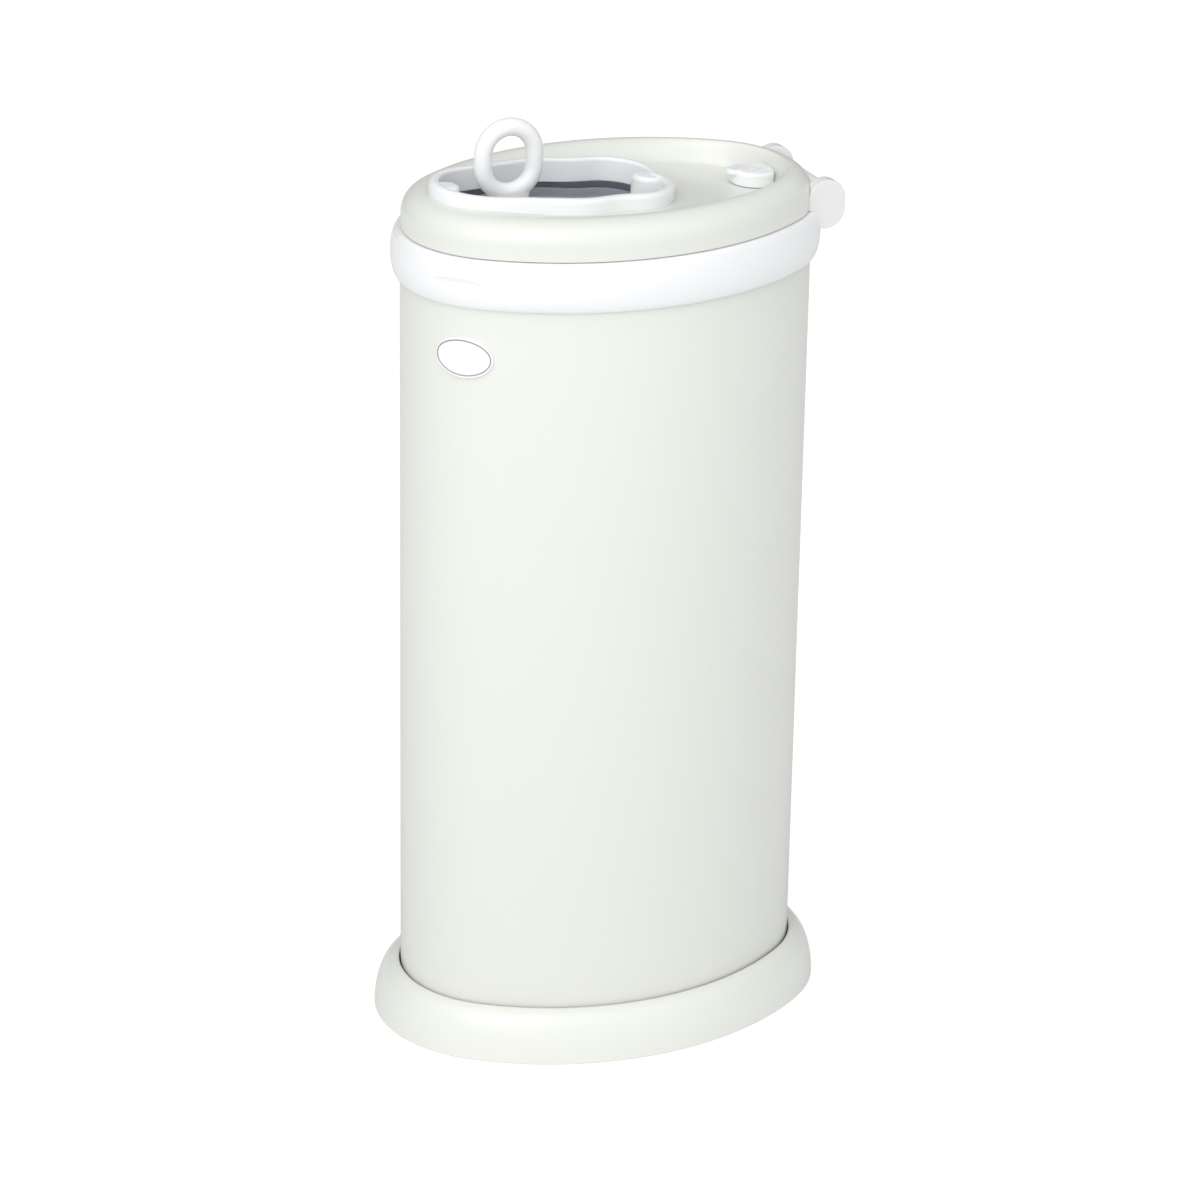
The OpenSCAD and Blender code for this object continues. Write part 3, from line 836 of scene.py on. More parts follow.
@dataclass(frozen=True)
class Finish:
    """A finish with a slow drift of tone and a fine relief."""

    name: str
    slot: Slot
    colour: Colour
    deep: Colour
    gloss: float
    relief_scale: float
    relief_depth: float
    drift: float = 0.5
    drift_scale: float = 9.0
    gloss_drift: float = 0.06
    relief_stretch: float = 1.0
    metallic: float = 0.0
    coat: float = 0.0
    coat_gloss: float = 0.1
    sheen: float = 0.0
    subsurface: float = 0.0

    def material(self) -> bpy.types.Material:
        """Builds the material, or gives the one that is already built.

        Returns:
            The material.
        """
        ready = bpy.data.materials.get(self.name)
        if ready:
            return ready
        made = bpy.data.materials.new(self.name)
        made.use_nodes = True
        shader = Shader(made.node_tree)
        skin = made.node_tree.nodes["Principled BSDF"]
        tone = shader.add("ShaderNodeGroup")
        tone.node_tree = bpy.data.node_groups["slow_tone"]
        fill(tone, {
            "Colour": (*self.colour, 1), "Deep": (*self.deep, 1), "Scale": self.drift_scale,
            "Drift": self.drift, "Gloss": self.gloss, "Gloss Drift": self.gloss_drift,
        })
        shader.join(tone.outputs["Colour"], skin.inputs["Base Color"])
        shader.join(tone.outputs["Roughness"], skin.inputs["Roughness"])
        relief = shader.add("ShaderNodeGroup")
        relief.node_tree = bpy.data.node_groups["fine_relief"]
        fill(relief, {"Scale": self.relief_scale, "Stretch": self.relief_stretch})
        bump = shader.add("ShaderNodeBump", Strength=self.relief_depth, Distance=RELIEF_STEP)
        shader.join(relief.outputs["Height"], bump.inputs["Height"])
        shader.join(bump.outputs["Normal"], skin.inputs["Normal"])
        fill(skin, {
            "Metallic": self.metallic, "Coat Weight": self.coat, "Sheen Weight": self.sheen,
            "Coat Roughness": self.coat_gloss, "Subsurface Weight": self.subsurface,
            "Subsurface Scale": SKIN_DEPTH,
        })
        return made


PAINT = Finish(
    "white_paint", Slot.PAINT, (0.785, 0.80, 0.755), (0.765, 0.78, 0.735), gloss=0.32,
    relief_scale=260.0, relief_depth=0.05, coat=0.25,
)
WHITE = Finish(
    "white_plastic", Slot.WHITE, (0.91, 0.91, 0.91), (0.895, 0.895, 0.895), gloss=0.24,
    relief_scale=1500.0, relief_depth=0.03, coat=0.15, subsurface=0.05,
)
# The same white plastic drawn darker: painted shade on the hinge cheeks, whose faces turn away
# from the light.
SHADED_HINGE_WHITE = Finish(
    "hinge_plastic_painted_shade", Slot.WHITE, (0.80, 0.80, 0.80), (0.785, 0.785, 0.785), gloss=0.3,
    relief_scale=1500.0, relief_depth=0.05, coat=0.1, subsurface=0.05,
)
OFF_WHITE = Finish(
    "off_white_plastic", Slot.OFF_WHITE, (0.72, 0.73, 0.74), (0.68, 0.69, 0.70), gloss=0.5,
    relief_scale=2200.0, relief_depth=0.15,
)
GREY = Finish(
    "grey_plastic", Slot.GREY, (0.42, 0.42, 0.48), (0.39, 0.39, 0.45), gloss=0.4,
    relief_scale=2400.0, relief_depth=0.2,
)
BADGE_GREY = Finish(
    "badge_line", Slot.GREY, (0.30, 0.30, 0.33), (0.27, 0.27, 0.30), gloss=0.45,
    relief_scale=2400.0, relief_depth=0.1,
)
SEAL = Finish(
    "seal_rubber", Slot.SEAL, (0.22, 0.23, 0.29), (0.19, 0.20, 0.26), gloss=0.5,
    relief_scale=1800.0, relief_depth=0.12, sheen=0.1,
)
RUBBER = Finish(
    "dark_rubber", Slot.RUBBER, (0.035, 0.035, 0.038), (0.028, 0.028, 0.03), gloss=0.7,
    relief_scale=1200.0, relief_depth=0.25, sheen=0.1,
)
ACETAL = Finish(
    "acetal", Slot.ACETAL, (0.78, 0.78, 0.75), (0.74, 0.74, 0.71), gloss=0.38,
    relief_scale=1500.0, relief_depth=0.08,
)
STEEL = Finish(
    "plated_steel", Slot.STEEL, (0.66, 0.67, 0.69), (0.52, 0.53, 0.55), gloss=0.28,
    relief_scale=900.0, relief_depth=0.2, metallic=1.0, relief_stretch=6.0,
)
ZINC = Finish(
    "zinc_sheet", Slot.ZINC, (0.58, 0.59, 0.60), (0.42, 0.43, 0.45), gloss=0.42,
    relief_scale=160.0, relief_depth=0.3, metallic=1.0, drift=0.9, drift_scale=60.0,
    gloss_drift=0.2,
)


def dress(piece: bpy.types.Object, finish: Finish) -> None:
    """Gives a piece one finish.

    Args:
        piece: The object.
        finish: Its finish.
    """
    piece.data.materials.clear()
    piece.data.materials.append(finish.material())


@dataclass
class SubAssembly:
    """A group of pieces that go on one body."""

    body: Body

    def place(
        self, piece: bpy.types.Object, finish: Finish, *nodes: str
    ) -> bpy.types.Object:
        """Puts a finished piece on the body in the place of CAD nodes.

        Args:
            piece: The object.
            finish: Its finish.
            nodes: The CAD nodes that it stands for.

        Returns:
            The same object.
        """
        dress(piece, finish)
        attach(piece, self.body.value)
        if nodes:
            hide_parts(*nodes)
        LOG.info("%s: %d faces", piece.name, len(piece.data.polygons))
        return piece

    def keep(self, finish: Finish, *nodes: str) -> None:
        """Keeps CAD nodes as they are and gives them a finish.

        Args:
            finish: Their finish.
            nodes: Names of the CAD nodes.
        """
        for node in nodes:
            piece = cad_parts[node]
            piece.data.materials.clear()
            piece.data.materials.append(finish.material())
            LOG.info("%s: kept", node)


# ---------- the bin ----------


@dataclass(frozen=True)
class HingePlan:
    """Where the hinge lies and the room that it needs."""

    y: float = 122.0
    z: float = 506.0
    drop: float = 6.0
    cheek_radius: float = 11.75
    cheek_inner: float = 30.5
    cheek_outer: float = 38.5
    barrel_radius: float = 7.5
    barrel_half: float = 30.0
    clear: float = 0.6
    under_low: float = 499.0
    under_reach: float = 8.0
    overlap: float = 0.05
    round_steps: int = 32

    def cheek_outline(self, grow: float) -> list[Point]:
        """Gives the side view of a cheek drawn larger all round.

        Args:
            grow: Distance outside the cheek in millimetres.

        Returns:
            Y and Z of each point.
        """
        radius = self.cheek_radius + grow
        steps = self.round_steps
        line = arc_points((self.y, self.z), radius, 0, math.pi, steps)
        line.append((self.y - radius, self.z))
        line += arc_points((self.y, self.z - self.drop), radius, math.pi, math.tau, steps)
        line.append((self.y + radius, self.z - self.drop))
        return line

    def barrel_room(self) -> bpy.types.Object:
        """Builds the room round the barrel.

        Returns:
            A closed bar to cut out of a piece.
        """
        return bar(
            "barrel_room", self.barrel_radius + self.clear, self.barrel_half + self.clear,
            self.y, self.z,
        )

    def lid_rooms(self) -> list[bpy.types.Object]:
        """Builds the rooms that the hinge needs in a piece of the lid.

        Returns:
            Closed objects to cut out of the piece.
        """
        near = self.y - (self.barrel_radius + self.clear - self.overlap)
        far = self.y + self.under_reach
        low = [(near, self.z), (near, self.under_low), (far, self.under_low), (far, self.z)]
        half = self.barrel_half + self.clear
        rooms = [self.barrel_room(), side_plate("under_room", low, -half, half, 0)]
        for side in (-1, 1):
            ends = sorted(side * (x + d * self.clear) for x, d in
                          ((self.cheek_inner, -1), (self.cheek_outer, 1)))
            rooms.append(side_plate("cheek_room", self.cheek_outline(self.clear), *ends, 0))
        return rooms


@dataclass
class SteelBody(SubAssembly):
    """The painted steel shell with its flared foot, floor and foot ring."""

    oval: BodyOval
    wall: float = 1.2
    shell_low: float = 7.0
    shell_high: float = 490.0
    lip_out: float = 2.2
    lip_radius: float = 1.4
    flare: float = 16.0
    foot_height: float = 31.0
    foot_wall: float = 2.2
    edge_soft: float = 0.3
    lip_start: float = 250.0
    lip_steps: int = 12
    flare_steps: int = 22
    hem_z: float = 0.6
    hem_edge: Point = (0.4, 0.25)
    hem_low: float = 0.2

    def shell(self) -> bpy.types.Object:
        """Builds the upright oval shell.

        Returns:
            The shell.
        """
        soft = self.edge_soft
        profile = round_profile([
            (0, self.shell_low, soft), (0, self.shell_high, soft),
            (-self.wall, self.shell_high, soft), (-self.wall, self.shell_low, soft),
        ], steps=2)
        piece = carried("steel_shell", self.oval, profile)
        smooth(piece)
        return piece

    def foot(self) -> bpy.types.Object:
        """Builds the flared foot with its rolled lip and its turned-in hem.

        Returns:
            The foot.
        """
        rise = self.foot_height - self.lip_radius - self.hem_z
        reach = self.flare - self.lip_out
        wall = self.foot_wall
        lip = (self.lip_out, self.foot_height - self.lip_radius)
        profile = arc_points(
            lip, self.lip_radius, math.radians(self.lip_start), math.pi / 2, self.lip_steps
        )
        shares = [i / self.flare_steps for i in range(1, self.flare_steps + 1)]
        for share in shares:
            turn = math.pi / 2 * share
            profile.append((
                self.lip_out + reach * math.sin(turn),
                self.hem_z + rise * math.cos(turn) + self.lip_radius * (1 - share),
            ))
        profile.append((self.flare - self.hem_edge[0], self.hem_edge[1]))
        profile.append((self.flare - wall, self.hem_low))
        for share in reversed(shares):
            turn = math.pi / 2 * share
            profile.append((
                self.lip_out - wall / 2 + (reach - wall / 2) * math.sin(turn),
                self.hem_z + (rise - wall) * math.cos(turn),
            ))
        piece = carried("foot", self.oval, profile)
        smooth(piece, SOFT_EDGE)
        return piece

    def build(self) -> None:
        """Builds and dresses the pieces."""
        self.place(self.shell(), PAINT, "body_shell")
        self.place(self.foot(), PAINT, "foot_skirt")
        self.keep(RUBBER, "foot_ring")
        self.keep(ZINC, "floor_pan")
        self.keep(STEEL, "floor_screws")


@dataclass
class CollarBand(SubAssembly):
    """The white band under the lid, with its grip, inner ledge, bag ring and badge."""

    oval: BodyOval
    hinge: HingePlan
    low: float = 471.0
    high: float = 500.0
    lip: float = 0.8
    bulge: float = 5.5
    inner: float = 6.0
    ledge_in: float = 9.0
    ledge_low: float = 474.0
    ledge_high: float = 476.5
    steps: int = 40
    fullness: float = 0.94
    fine_steps: tuple[int, int] = (72, 144)
    top_soft: float = 0.8
    ledge_soft: float = 0.5
    ledge_root: float = 0.4
    under_root: float = 0.3
    low_soft: float = 0.6
    grip_depth: float = 1.3
    grip_half: float = 21.0
    grip_rise: float = 4.0
    grip_z: float = 485.0
    grip_turn: float = 42.0
    badge_turn: float = 43.0
    badge_z: float = 440.5
    badge_width: float = 36.0
    badge_height: float = 24.0
    badge_points: int = 72
    badge_steps: tuple[Point, ...] = (
        (0.0, 0.02), (0.0, 1.3), (0.35, 1.65), (1.0, 1.7), (1.35, 1.35), (5.0, 1.3),
        (9.0, 1.3), (11.6, 1.3),
    )
    badge_line: tuple[Point, ...] = ((1.25, 1.3), (1.25, 1.5), (1.9, 1.5), (1.9, 1.3))

    def outer_line(self) -> list[Point]:
        """Gives the bulged outer line from the lower to the upper edge.

        Returns:
            Distance outside the body and height of each point.
        """
        middle = (self.low + self.high) / 2
        rise = (self.high - self.low) / 2
        line: list[Point] = []
        for i in range(self.steps + 1):
            along = -1 + 2 * i / self.steps
            swell = math.sqrt(1 - self.fullness * along**2)
            line.append((self.lip + (self.bulge - self.lip) * swell, middle + rise * along))
        return line

    def press_grip(self, band: bpy.types.Object) -> None:
        """Presses the shallow finger grip into the front of the band.

        Args:
            band: The band, before it is cut.
        """
        radius = self.oval.half_length - self.oval.end_y
        for vertex in band.data.vertices:
            x, y = vertex.co.x / MM, vertex.co.y / MM + self.oval.end_y
            reach = math.hypot(x, y)
            if y > 0 or reach < radius + self.lip:
                continue
            along = (math.degrees(math.atan2(x, -y)) - self.grip_turn) * math.radians(reach)
            up = vertex.co.z / MM - self.grip_z
            share = 1 - (along / self.grip_half) ** 2 - (up / self.grip_rise) ** 2
            if share <= 0:
                continue
            dent = self.grip_depth * ease(share) / reach
            vertex.co.x -= x * dent * MM
            vertex.co.y -= y * dent * MM

    def band(self) -> bpy.types.Object:
        """Builds the bulged band with its grip.

        Returns:
            The band.
        """
        corners = round_profile([
            (-self.inner, self.high, self.top_soft),
            (-self.inner, self.ledge_high, self.ledge_root),
            (-self.ledge_in, self.ledge_high, self.ledge_soft),
            (-self.ledge_in, self.ledge_low, self.ledge_soft),
            (-self.inner, self.ledge_low, self.under_root),
            (-self.inner, self.low, self.low_soft),
        ], steps=4)
        fine = BodyOval(self.oval.half_length, self.oval.half_width, *self.fine_steps)
        piece = carried("collar_band", fine, self.outer_line() + corners)
        self.press_grip(piece)
        return piece

    def build(self) -> None:
        """Builds and dresses the pieces."""
        band = cut(self.band(), self.hinge.barrel_room())
        smooth(band)
        self.place(band, WHITE, "collar")
        self.keep(STEEL, "collar_screws")
        self.keep(OFF_WHITE, "bag_ring")
        self.badge()

    def wrapped(self, inset: float, off: float) -> list[Place]:
        """Gives an oval loop that lies round the front arc.

        Args:
            inset: Its distance inside the badge's edge in millimetres.
            off: Its distance outside the body.

        Returns:
            The loop's points.
        """
        radius = self.oval.half_length - self.oval.end_y
        width, height = self.badge_width - 2 * inset, self.badge_height - 2 * inset
        loop: list[Place] = []
        for i in range(self.badge_points):
            turn = math.tau * i / self.badge_points
            along = math.degrees(width / 2 * math.cos(turn) / radius)
            x, y = self.oval.front_point(self.badge_turn + along, off)
            loop.append((x, y, self.badge_z + height / 2 * math.sin(turn)))
        return loop

    def badge(self) -> None:
        """Builds the blank oval badge and the thin line round its face."""
        rings = [self.wrapped(inset, off) for inset, off in self.badge_steps]
        badge = swept("badge_plate", rings, closed=False)
        smooth(badge, SOFT_EDGE)
        self.place(badge, WHITE, "badge")
        line = swept("badge_line", [self.wrapped(inset, off) for inset, off in self.badge_line])
        smooth(line, SOFT_EDGE)
        self.place(line, BADGE_GREY)


# ---------- the hinge ----------


@dataclass
class Hinge(SubAssembly):
    """The cheeks on the band, the pin and the screws."""

    plan: HingePlan
    cap_radius: float = 3.4
    cap_half: float = 0.45
    cap_sink: float = 0.5
    skin: float = 0.4
    skin_passes: int = 4

    def build(self) -> None:
        """Builds and dresses the pieces."""
        parts = [copied("hinge_bracket", "cheeks")]
        reach = self.plan.cheek_outer - self.cap_sink
        for side in (-1, 1):
            cap = bar("cap", self.cap_radius, self.cap_half, self.plan.y, self.plan.z)
            cap.data.transform(Matrix.Translation((side * reach * MM, 0, 0)))
            parts.append(cap)
        cheeks = melted("hinge_cheeks", parts, self.skin, self.skin_passes)
        # The cheeks take the darker copy of the white plastic, which is painted shade.
        self.place(cheeks, SHADED_HINGE_WHITE, "hinge_bracket")
        self.keep(STEEL, "bracket_screws", "hinge_pin")


# ---------- the lid ----------


@dataclass
class Lid(SubAssembly):
    """The painted lid shell with its frame, gasket and fixings."""

    oval: BodyOval
    opening: OpeningOutline
    gap: float = 0.5
    low: float = 500.12
    crest: float = 522.0
    edge_round: float = 13.7
    bowl_inset: float = 36.0
    back_inset: float = 22.0
    back_start: float = 25.0
    back_length: float = 60.0
    wall: float = 1.6
    hinge: HingePlan = HingePlan()
    hem: float = 0.1
    edge_steps: int = 20
    bowl_steps: int = 16
    bowl_reach: float = 1.15
    hole_grow: float = 0.05
    hole_rise: float = 20.0

    def loop_at(self, out: float, z: float) -> list[Place]:
        """Gives a level ring of the shell."""
        return [(x, y, z) for x, y in self.oval.loop(out)]

    def bowl_loop(self, part: float, drop: float) -> list[Place]:
        """Gives a ring of the soft bowl between the crest and the sloping floor.

        Args:
            part: How far the ring is down the bowl, from 0 to 1.
            drop: Distance under the top skin.

        Returns:
            The ring's points.
        """
        crest_inset = self.gap + self.edge_round
        down = (1 - math.cos(math.pi * min(part, 1.0))) / 2
        wide = self.oval.loop(-crest_inset - (self.bowl_inset - crest_inset) * part)
        tight = self.oval.loop(-crest_inset - (self.back_inset - crest_inset) * part)
        ring: list[Place] = []
        for (x_wide, y_wide), (x_tight, y_tight) in zip(wide, tight, strict=True):
            share = ease(min(1.0, max(0.0, (y_tight - self.back_start) / self.back_length)))
            x = x_wide * (1 - share) + x_tight * share
            y = y_wide * (1 - share) + y_tight * share
            ring.append((x, y, self.crest * (1 - down) + SLOPE.rise(y) * down - drop))
        return ring

    def shell(self) -> bpy.types.Object:
        """Builds the shell with its hole and the room for the hinge.

        Returns:
            The shell.
        """
        centre = (-self.gap - self.edge_round, self.crest - self.edge_round)
        edges = [
            [self.loop_at(out, z) for out, z in
             arc_points(centre, radius, 0, math.pi / 2, self.edge_steps)]
            for radius in (self.edge_round, self.edge_round - self.wall)
        ]
        parts = [i / self.bowl_steps for i in range(self.bowl_steps + 1)] + [self.bowl_reach]
        outer = [self.loop_at(-self.gap - self.hem, self.low),
                 self.loop_at(-self.gap, self.low + self.hem), *edges[0]]
        outer += [self.bowl_loop(part, 0) for part in parts]
        inner = [self.bowl_loop(part, self.wall) for part in reversed(parts)]
        inner += [*reversed(edges[1]), self.loop_at(-self.gap - self.wall, self.low)]
        piece = open_skin("lid_shell_skin", outer, inner)
        hole = plate("hole", self.opening.loop(self.hole_grow), self.low,
                     self.crest + self.hole_rise, 0)
        cut(piece, SLOPE.lay(hole), *self.hinge.lid_rooms())
        smooth(piece, SOFT_EDGE)
        return piece

    def build(self) -> None:
        """Builds and dresses the pieces."""
        self.place(self.shell(), PAINT, "lid_shell")
        self.keep(WHITE, "lid_frame", "hinge_leaf")
        self.keep(STEEL, "frame_screws", "leaf_screws")
        self.keep(RUBBER, "lid_gasket")


@dataclass
class OpeningRim(SubAssembly):
    """The white rim round the opening, its seal, and the rails of the door."""

    outline: OpeningOutline
    top: float = 523.0
    neck: float = 509.0
    width: float = 6.0
    stops: tuple[tuple[float, float], ...] = ((24.5, 9.3), (-101.0, 8.0))
    stop_drop: float = 0.6
    stop_round: float = 2.8
    stop_root: float = 2.0
    beyond: float = 1.0
    round_steps: int = 8
    outer_soft: float = 3.2
    inner_soft: float = 2.2
    foot_soft: float = 0.4

    def stop(self, y: float, radius: float) -> bpy.types.Object:
        """Builds a tongue inside the rim, where the ring comes to rest.

        Args:
            y: Place of its middle.
            radius: Its radius in millimetres.

        Returns:
            The tongue, trimmed to the rim.
        """
        high = self.top - self.stop_drop
        flat = radius - self.stop_round
        line = [(radius, self.neck)]
        centre = (flat, high - self.stop_round)
        line += arc_points(centre, self.stop_round, 0, math.pi / 2, self.round_steps)
        line.append((flat, high))
        tongue = turned("tongue", line)
        tongue.data.transform(Matrix.Translation((0, y * MM, 0)))
        inside = self.outline.loop(-self.stop_root)
        room = plate("room", inside, self.neck - self.beyond, self.top + self.beyond, 0)
        return combined(tongue, "INTERSECT", [room])

    def rim(self) -> bpy.types.Object:
        """Builds the rounded rim with its two tongues.

        Returns:
            The rim.
        """
        profile = round_profile([
            (0, self.neck, 0), (0, self.top, self.outer_soft),
            (-self.width, self.top, self.inner_soft), (-self.width, self.neck, self.foot_soft),
        ], steps=8)
        piece = carried("opening_rim", self.outline, profile)
        joined(piece, *(self.stop(y, radius) for y, radius in self.stops))
        SLOPE.lay(piece)
        smooth(piece)
        return piece

    def build(self) -> None:
        """Builds and dresses the pieces."""
        self.place(self.rim(), WHITE, "opening_bezel")
        self.keep(SEAL, "opening_seal")
        self.keep(OFF_WHITE, "rail_left", "rail_right")
        self.keep(STEEL, "rail_screws")
        self.keep(ACETAL, "knob_bushing")


# ---------- the door ----------


@dataclass
class Door(SubAssembly):
    """The sliding door with its glides and its finger ring."""

    ring_y: float = -62.0
    ring_top: float = 564.0
    ring_width: float = 42.0
    rod: float = 10.5
    hole_height: float = 28.0
    tray: float = 501.5
    base: float = 506.9
    flange_width: float = 34.0
    flange_half: float = 8.0
    flange_wall: float = 3.2
    flange_soft: float = 0.5
    neck_width: float = 27.5
    neck_waist: float = 3.0
    neck_root: float = 1.5
    neck_steps: int = 12
    neck_points: int = 40
    squareness: Point = (0.8, 0.6)
    bend_steps: int = 32
    rod_points: int = 24
    skin: float = 0.5
    skin_passes: int = 10

    def loop(self, upper: float, lower: float, bend: float) -> bpy.types.Object:
        """Builds the round rod that goes round the finger hole.

        Args:
            upper: Height of the upper bend's centre.
            lower: Height of the lower bend's centre.
            bend: Radius of both bends.

        Returns:
            The closed rod.
        """
        rings = []
        for height, start in ((upper, 0.0), (lower, math.pi)):
            middle = Vector((0, 0, height))
            for y, z in arc_points((0, height), bend, start, start + math.pi, self.bend_steps):
                out = (Vector((0, y, z)) - middle).normalized()
                spot = Vector((0, self.ring_y + y, z))
                rings.append([
                    tuple(spot + out * (a * self.rod / 2) + Vector((b * self.rod / 2, 0, 0)))
                    for a, b in arc_points((0, 0), 1, 0, math.tau, self.rod_points)
                ])
        return swept("loop", rings)

    def neck(self, high: float) -> bpy.types.Object:
        """Builds the waisted neck between the foot plate and the rod.

        Args:
            high: Height of its upper end.

        Returns:
            The neck.
        """
        turns = [math.tau * i / self.neck_points for i in range(self.neck_points)]
        square_x, square_y = self.squareness
        plan = [
            (math.copysign(abs(math.sin(a)) ** square_x, math.sin(a)),
             math.copysign(abs(math.cos(a)) ** square_y, math.cos(a))) for a in turns
        ]
        sections = []
        for i in range(self.neck_steps + 1):
            t = i / self.neck_steps
            half = self.flange_width / 2 * (1 - t) + self.neck_width / 2 * t
            half -= self.neck_waist * math.sin(math.pi * t)
            z = self.base + (high - self.base) * t
            sections.append([(0.5 * self.rod * x, self.ring_y + half * y, z) for x, y in plan])
        return swept("neck", sections, closed=False)

    def ring(self) -> bpy.types.Object:
        """Builds the finger ring, its neck and its foot as one moulding.

        Returns:
            The ring.
        """
        bend = (self.ring_width - self.rod) / 2
        upper = self.ring_top - self.ring_width / 2
        lower = upper - (self.hole_height + self.rod - 2 * bend)
        half_x, half_y = self.flange_half, self.flange_width / 2
        foot_plan = [(half_x, self.ring_y - half_y), (half_x, self.ring_y + half_y),
                     (-half_x, self.ring_y + half_y), (-half_x, self.ring_y - half_y)]
        foot = plate("foot_plate", foot_plan, self.tray, self.tray + self.flange_wall,
                     self.flange_soft)
        parts = [self.loop(upper, lower, bend), self.neck(lower - bend + self.neck_root),
                 SLOPE.lay(foot)]
        return melted("finger_ring", parts, self.skin, self.skin_passes)

    def build(self) -> None:
        """Builds and dresses the pieces."""
        self.place(self.ring(), WHITE, "ring_handle")
        self.keep(GREY, "sliding_door")
        self.keep(ACETAL, "door_glides")
        self.keep(STEEL, "ring_screws")


# ---------- the lock ----------


@dataclass
class Lock(SubAssembly):
    """The turning knob and its cam under the lid."""

    y: float = 91.5
    low: float = 514.3
    radius: float = 13.0
    height: float = 9.0
    shaft: float = 3.0
    shaft_low: float = 507.4
    lip_y: float = -11.8
    lip_radius: float = 5.2
    lip_depth: float = 3.6
    lip_soft: float = 1.3
    shoulder: float = 2.2
    shoulder_steps: int = 8
    lip_points: int = 40
    mark_points: int = 56
    crown_drop: float = 0.4
    crown: tuple[Point, ...] = ((7.0, 0.08), (0.0, 0.0))
    base_edge: Point = (0.4, 0.5)
    lip_drop: float = 0.1
    mark_radii: Point = (3.5, 4.5)
    mark_depth: float = 0.55
    skin: float = 0.32
    skin_passes: int = 5
    sharp: float = 50.0

    def knob(self) -> bpy.types.Object:
        """Builds the crowned knob with its thumb lip, its round mark and its shaft.

        Returns:
            The knob.
        """
        high = self.low + self.height
        flat = self.radius - self.shoulder
        bend = (flat, high - self.shoulder - self.crown_drop)
        edge_in, edge_up = self.base_edge
        line = [(self.radius - edge_in, self.low), (self.radius, self.low + edge_up)]
        line += arc_points(bend, self.shoulder, 0, math.pi / 2, self.shoulder_steps)
        line.append((flat, high - self.crown_drop))
        line += [(radius, high - drop) for radius, drop in self.crown]
        disc = turned("disc", line)
        shaft = turned("shaft", [(self.shaft, self.shaft_low), (self.shaft, self.low + 1)])
        plan = arc_points((0, self.lip_y), self.lip_radius, 0, math.tau, self.lip_points)
        lip = plate("lip", plan, high - self.lip_depth, high - self.lip_drop, self.lip_soft)
        knob = melted("knob", [disc, shaft, lip], self.skin, self.skin_passes)
        (inner, outer), deep = self.mark_radii, high - self.mark_depth
        mark = [(inner, deep), (outer, deep), (outer, high + 1), (inner, high + 1)]
        cut(knob, swept("mark", [
            [(x, y, z) for x, y in arc_points((0, 0), r, 0, math.tau, self.mark_points)]
            for r, z in mark
        ]))
        knob.data.transform(Matrix.Translation((0, self.y * MM, 0)))
        SLOPE.lay(knob)
        smooth(knob, self.sharp)
        return knob

    def build(self) -> None:
        """Builds and dresses the pieces."""
        self.place(self.knob(), WHITE, "lock_knob")
        self.keep(ACETAL, "lock_cam")
        self.keep(STEEL, "cam_screw")


# ---------- the studio ----------


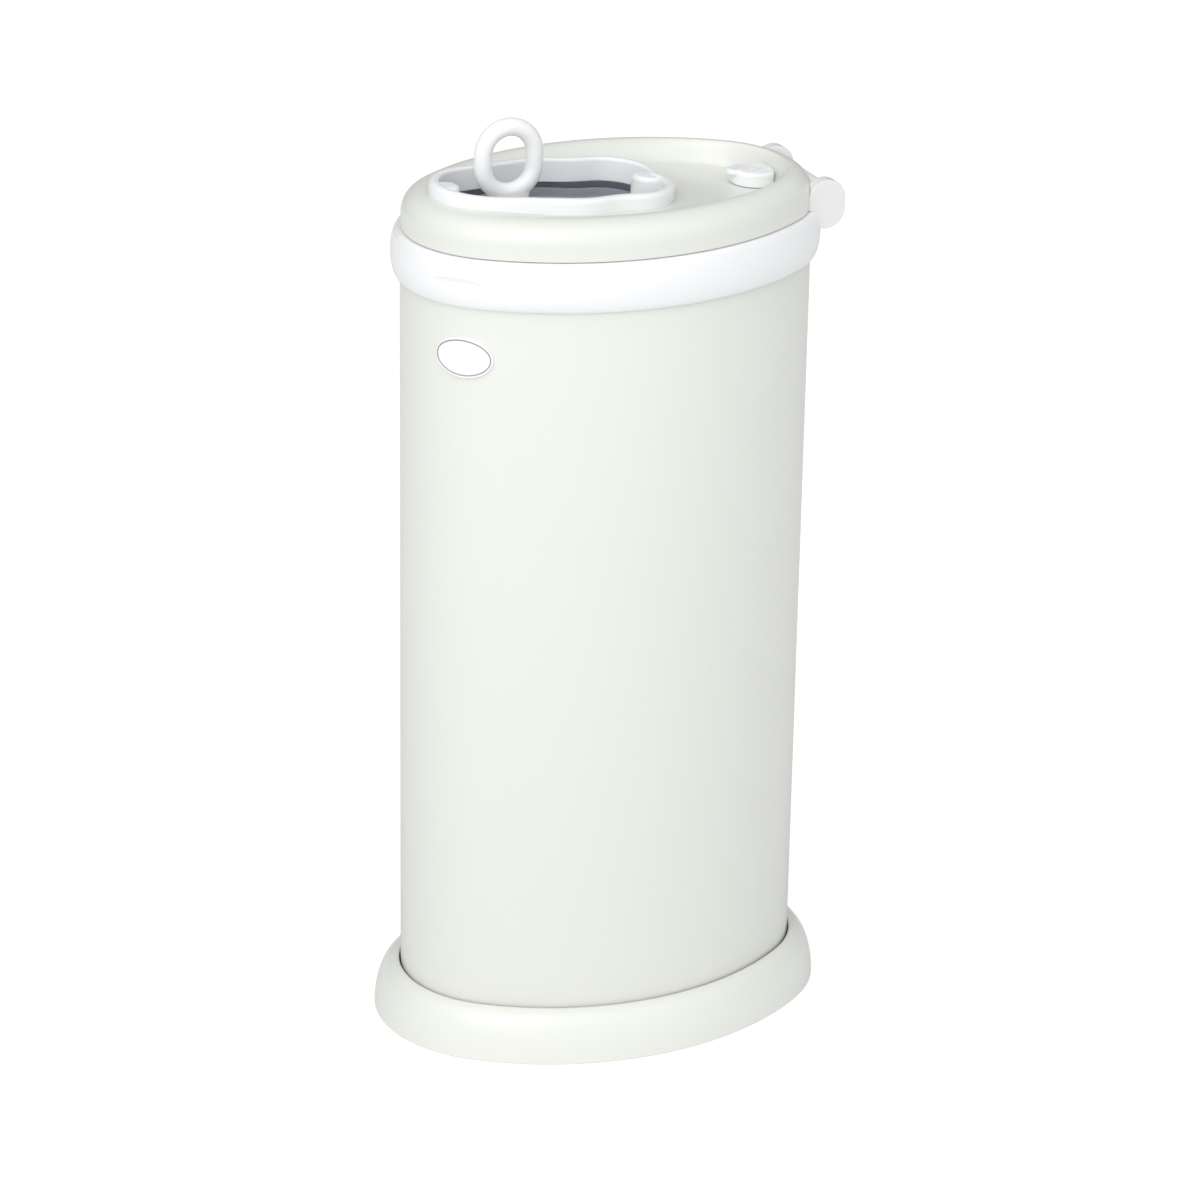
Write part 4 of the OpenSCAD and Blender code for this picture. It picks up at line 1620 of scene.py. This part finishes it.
@dataclass
class Studio:
    """The floor, the lamps, the world and the camera."""

    camera_place: Place = (2.31594, -1.02170, 1.33497)
    azimuth: float = 66.208
    elevation: float = 23.058
    roll: float = 0.967
    focal_pixels: float = 4604.22
    sensor: float = 36.0
    key_place: Place = (2.2, -2.0, 2.2)
    key_size: float = 2.0
    key_power: float = 22.0
    aim_height: float = 0.3
    floor_half: float = 4.0
    floor_colour: Colour = (0.86, 0.86, 0.86)
    floor_glow: float = 1.42
    floor_share: float = 0.5
    bright_azimuth: float = 61.0
    surround: Limits = (-0.3, 0.75, 0.3, 1.0)
    overhead: Limits = (0.3, 0.95, 1.0, 1.95)

    def camera(self) -> None:
        """Sets up the camera at the picture's viewing angle."""
        data = bpy.data.cameras.new("camera")
        data.sensor_width = self.sensor
        data.sensor_fit = "HORIZONTAL"
        data.lens = self.focal_pixels / PIXELS * self.sensor
        data.clip_end = 50
        camera = bpy.data.objects.new("camera", data)
        bpy.context.scene.collection.objects.link(camera)
        turn, tilt, roll = map(math.radians, (self.azimuth, self.elevation, self.roll))
        back = Vector((
            math.sin(turn) * math.cos(tilt), -math.cos(turn) * math.cos(tilt), math.sin(tilt)
        ))
        level = Vector((math.cos(turn), math.sin(turn), 0))
        upright = back.cross(level)
        right = level * math.cos(roll) + upright * math.sin(roll)
        up = upright * math.cos(roll) - level * math.sin(roll)
        pose = Matrix((right, up, back)).transposed().to_4x4()
        pose.translation = self.camera_place
        camera.matrix_world = pose
        bpy.context.scene.camera = camera

    def lamp(self) -> None:
        """Adds a soft square lamp that faces the bin."""
        data = bpy.data.lights.new("key", "AREA")
        data.energy = self.key_power
        data.size = self.key_size
        lamp = bpy.data.objects.new("key", data)
        bpy.context.scene.collection.objects.link(lamp)
        lamp.location = self.key_place
        aim = Vector((0, 0, self.aim_height)) - Vector(self.key_place)
        lamp.rotation_euler = aim.to_track_quat("-Z", "Y").to_euler()

    def floor(self) -> None:
        """Lays a pale floor that stays white to the camera but takes the shadow."""
        half = self.floor_half / MM
        verts = [(x * half, y * half, 0) for x, y in ((-1, -1), (1, -1), (1, 1), (-1, 1))]
        floor = new_object("floor", verts, [[0, 1, 2, 3]])
        made = bpy.data.materials.new("pale_floor")
        made.use_nodes = True
        shader = Shader(made.node_tree)
        skin = made.node_tree.nodes["Principled BSDF"]
        fill(skin, {
            "Base Color": (*self.floor_colour, 1), "Roughness": 0.9, "Specular IOR Level": 0.0
        })
        glow = shader.add("ShaderNodeEmission", Strength=self.floor_glow)
        path = shader.add("ShaderNodeLightPath")
        share = shader.add("ShaderNodeMath", operation="MULTIPLY")
        share.inputs[1].default_value = self.floor_share
        shader.join(path.outputs["Is Camera Ray"], share.inputs[0])
        shader.blend(share.outputs[0], skin, glow, "Material Output")
        floor.data.materials.append(made)

    def world(self) -> None:
        """Sets a pale surround, brighter on one side, that is white to the camera."""
        world = bpy.data.worlds.new("studio")
        bpy.context.scene.world = world
        world.use_nodes = True
        shader = Shader(world.node_tree)
        soft = world.node_tree.nodes["Background"]
        soft.inputs["Color"].default_value = (1, 1, 1, 1)
        where = shader.add("ShaderNodeTexCoord").outputs["Generated"]
        facing = shader.add("ShaderNodeVectorMath", operation="DOT_PRODUCT")
        turn = math.radians(self.bright_azimuth)
        facing.inputs[1].default_value = (math.sin(turn), -math.cos(turn), 0.0)
        shader.join(where, facing.inputs[0])
        split = shader.add("ShaderNodeSeparateXYZ")
        shader.join(where, split.inputs[0])
        strength = shader.add("ShaderNodeMath", operation="MULTIPLY")
        shader.join(shader.ramp(facing.outputs["Value"], self.surround), strength.inputs[0])
        shader.join(shader.ramp(split.outputs["Z"], self.overhead), strength.inputs[1])
        shader.join(strength.outputs[0], soft.inputs["Strength"])
        white = shader.add("ShaderNodeBackground", Strength=1.0)
        white.inputs["Color"].default_value = (1, 1, 1, 1)
        path = shader.add("ShaderNodeLightPath")
        shader.blend(path.outputs["Is Camera Ray"], soft, white, "World Output")

    def build(self) -> None:
        """Builds the stage."""
        self.camera()
        self.floor()
        self.world()
        self.lamp()
        bpy.context.scene.view_settings.view_transform = "Standard"


def main() -> None:
    """Builds the sub-assemblies in order and then the studio."""
    logging.basicConfig(level=logging.INFO, format="%(name)s %(message)s")
    tone_group()
    relief_group()
    shell_low, shell_high = box_mm("body_shell")
    oval = BodyOval(half_length=round(shell_high.y, 2), half_width=round(shell_high.x, 2))
    outline = OpeningOutline()
    SteelBody(Body.BIN, oval).build()
    CollarBand(Body.BIN, oval, HingePlan()).build()
    Hinge(Body.BIN, HingePlan()).build()
    Lid(Body.LID, oval, outline).build()
    OpeningRim(Body.LID, outline).build()
    Door(Body.DOOR).build()
    Lock(Body.KNOB).build()
    Studio().build()


if __name__ == "__main__":
    main()
